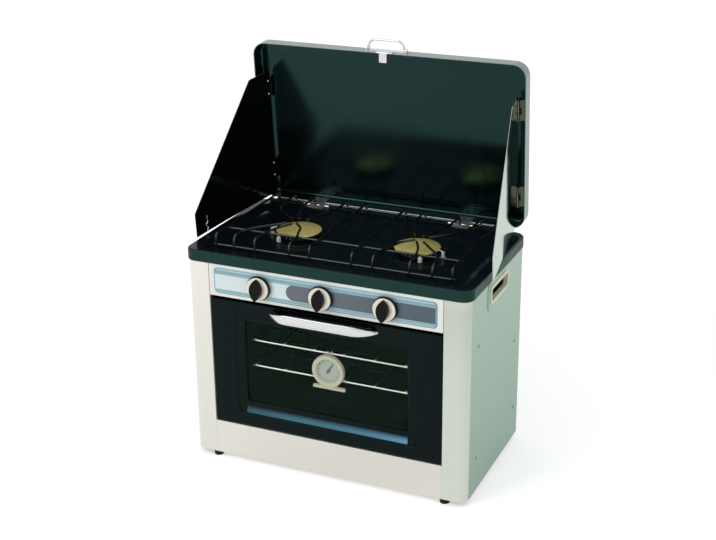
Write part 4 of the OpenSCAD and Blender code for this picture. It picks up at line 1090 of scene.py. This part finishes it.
screwObj = panelScrews(screw)
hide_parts("panel_screws")

rivet = {"radius": 2.6, "height": 1.4, "away": 11, "inside": -2.2, "hinges": (55, 226),
         "apart": 13}


def windRivets(c):
    place = windPlace(-1)
    inward = tuple(Vector(place(0, 0, -1)) - Vector(place(0, 0, 0)))
    spots = [place(c["away"], u + i * c["apart"], c["inside"])
             for u in c["hinges"] for i in (-1, 1)]
    return grow("leftWindRivets", "left_wind", heads, chrome,
                {"Radius": c["radius"] * mm, "Height": c["height"] * mm}, spots,
                [inward] * len(spots))


windRivets(rivet)

light = {"sky": 0.72, "skyTint": (1.0, 1.0, 1.0), "floorLift": 0.4}


def shownFactor(tree):
    path = tree.nodes.new("ShaderNodeLightPath")
    total = path.outputs["Is Camera Ray"]
    for name in ("Is Glossy Ray", "Is Transmission Ray"):
        node = tree.nodes.new("ShaderNodeMath")
        node.operation = "MAXIMUM"
        tree.links.new(total, node.inputs[0])
        tree.links.new(path.outputs[name], node.inputs[1])
        total = node.outputs[0]
    return total


def studio(c):
    world = bpy.data.worlds.new("studio")
    scene.world = world
    world.use_nodes = True
    tree = world.node_tree
    tree.nodes.clear()
    out = tree.nodes.new("ShaderNodeOutputWorld")
    soft, shown = tree.nodes.new("ShaderNodeBackground"), tree.nodes.new("ShaderNodeBackground")
    soft.inputs["Strength"].default_value = c["sky"]
    soft.inputs["Color"].default_value = c["skyTint"] + (1,)
    shown.inputs["Color"].default_value = (1, 1, 1, 1)
    mix = tree.nodes.new("ShaderNodeMixShader")
    tree.links.new(shownFactor(tree), mix.inputs[0])
    tree.links.new(soft.outputs[0], mix.inputs[1])
    tree.links.new(shown.outputs[0], mix.inputs[2])
    tree.links.new(mix.outputs[0], out.inputs[0])

    data = bpy.data.meshes.new("floor")
    s = 20
    data.from_pydata([(-s, -s, 0), (s, -s, 0), (s, s, 0), (-s, s, 0)], [], [(0, 1, 2, 3)])
    floor = bpy.data.objects.new("floor", data)
    scene.collection.objects.link(floor)
    mat = bpy.data.materials.new("floorWhite")
    mat.use_nodes = True
    tree = mat.node_tree
    shader = tree.nodes["Principled BSDF"]
    shader.inputs["Base Color"].default_value = (0.86, 0.86, 0.86, 1)
    shader.inputs["Roughness"].default_value = 1
    shader.inputs["Specular IOR Level"].default_value = 0
    shader.inputs["Emission Color"].default_value = (1, 1, 1, 1)
    lift = tree.nodes.new("ShaderNodeMath")
    lift.operation = "MULTIPLY"
    lift.inputs[1].default_value = c["floorLift"]
    tree.links.new(shownFactor(tree), lift.inputs[0])
    tree.links.new(lift.outputs[0], shader.inputs["Emission Strength"])
    data.materials.append(mat)


def lamp(name, place, aim, size, power):
    data = bpy.data.lights.new(name, "AREA")
    data.size, data.energy = size, power
    obj = bpy.data.objects.new(name, data)
    obj.location = place
    obj.rotation_euler = (Vector(aim) - Vector(place)).to_track_quat("-Z", "Y").to_euler()
    scene.collection.objects.link(obj)


studio(light)
lamp("keyLamp", (-1.6, -2.6, 2.4), (0, 0, 0.3), 1.6, 34)
lamp("fillLamp", (2.8, -1.0, 1.6), (0, 0, 0.3), 1.6, 8)
scene.view_settings.view_transform = "Standard"
print("light set")
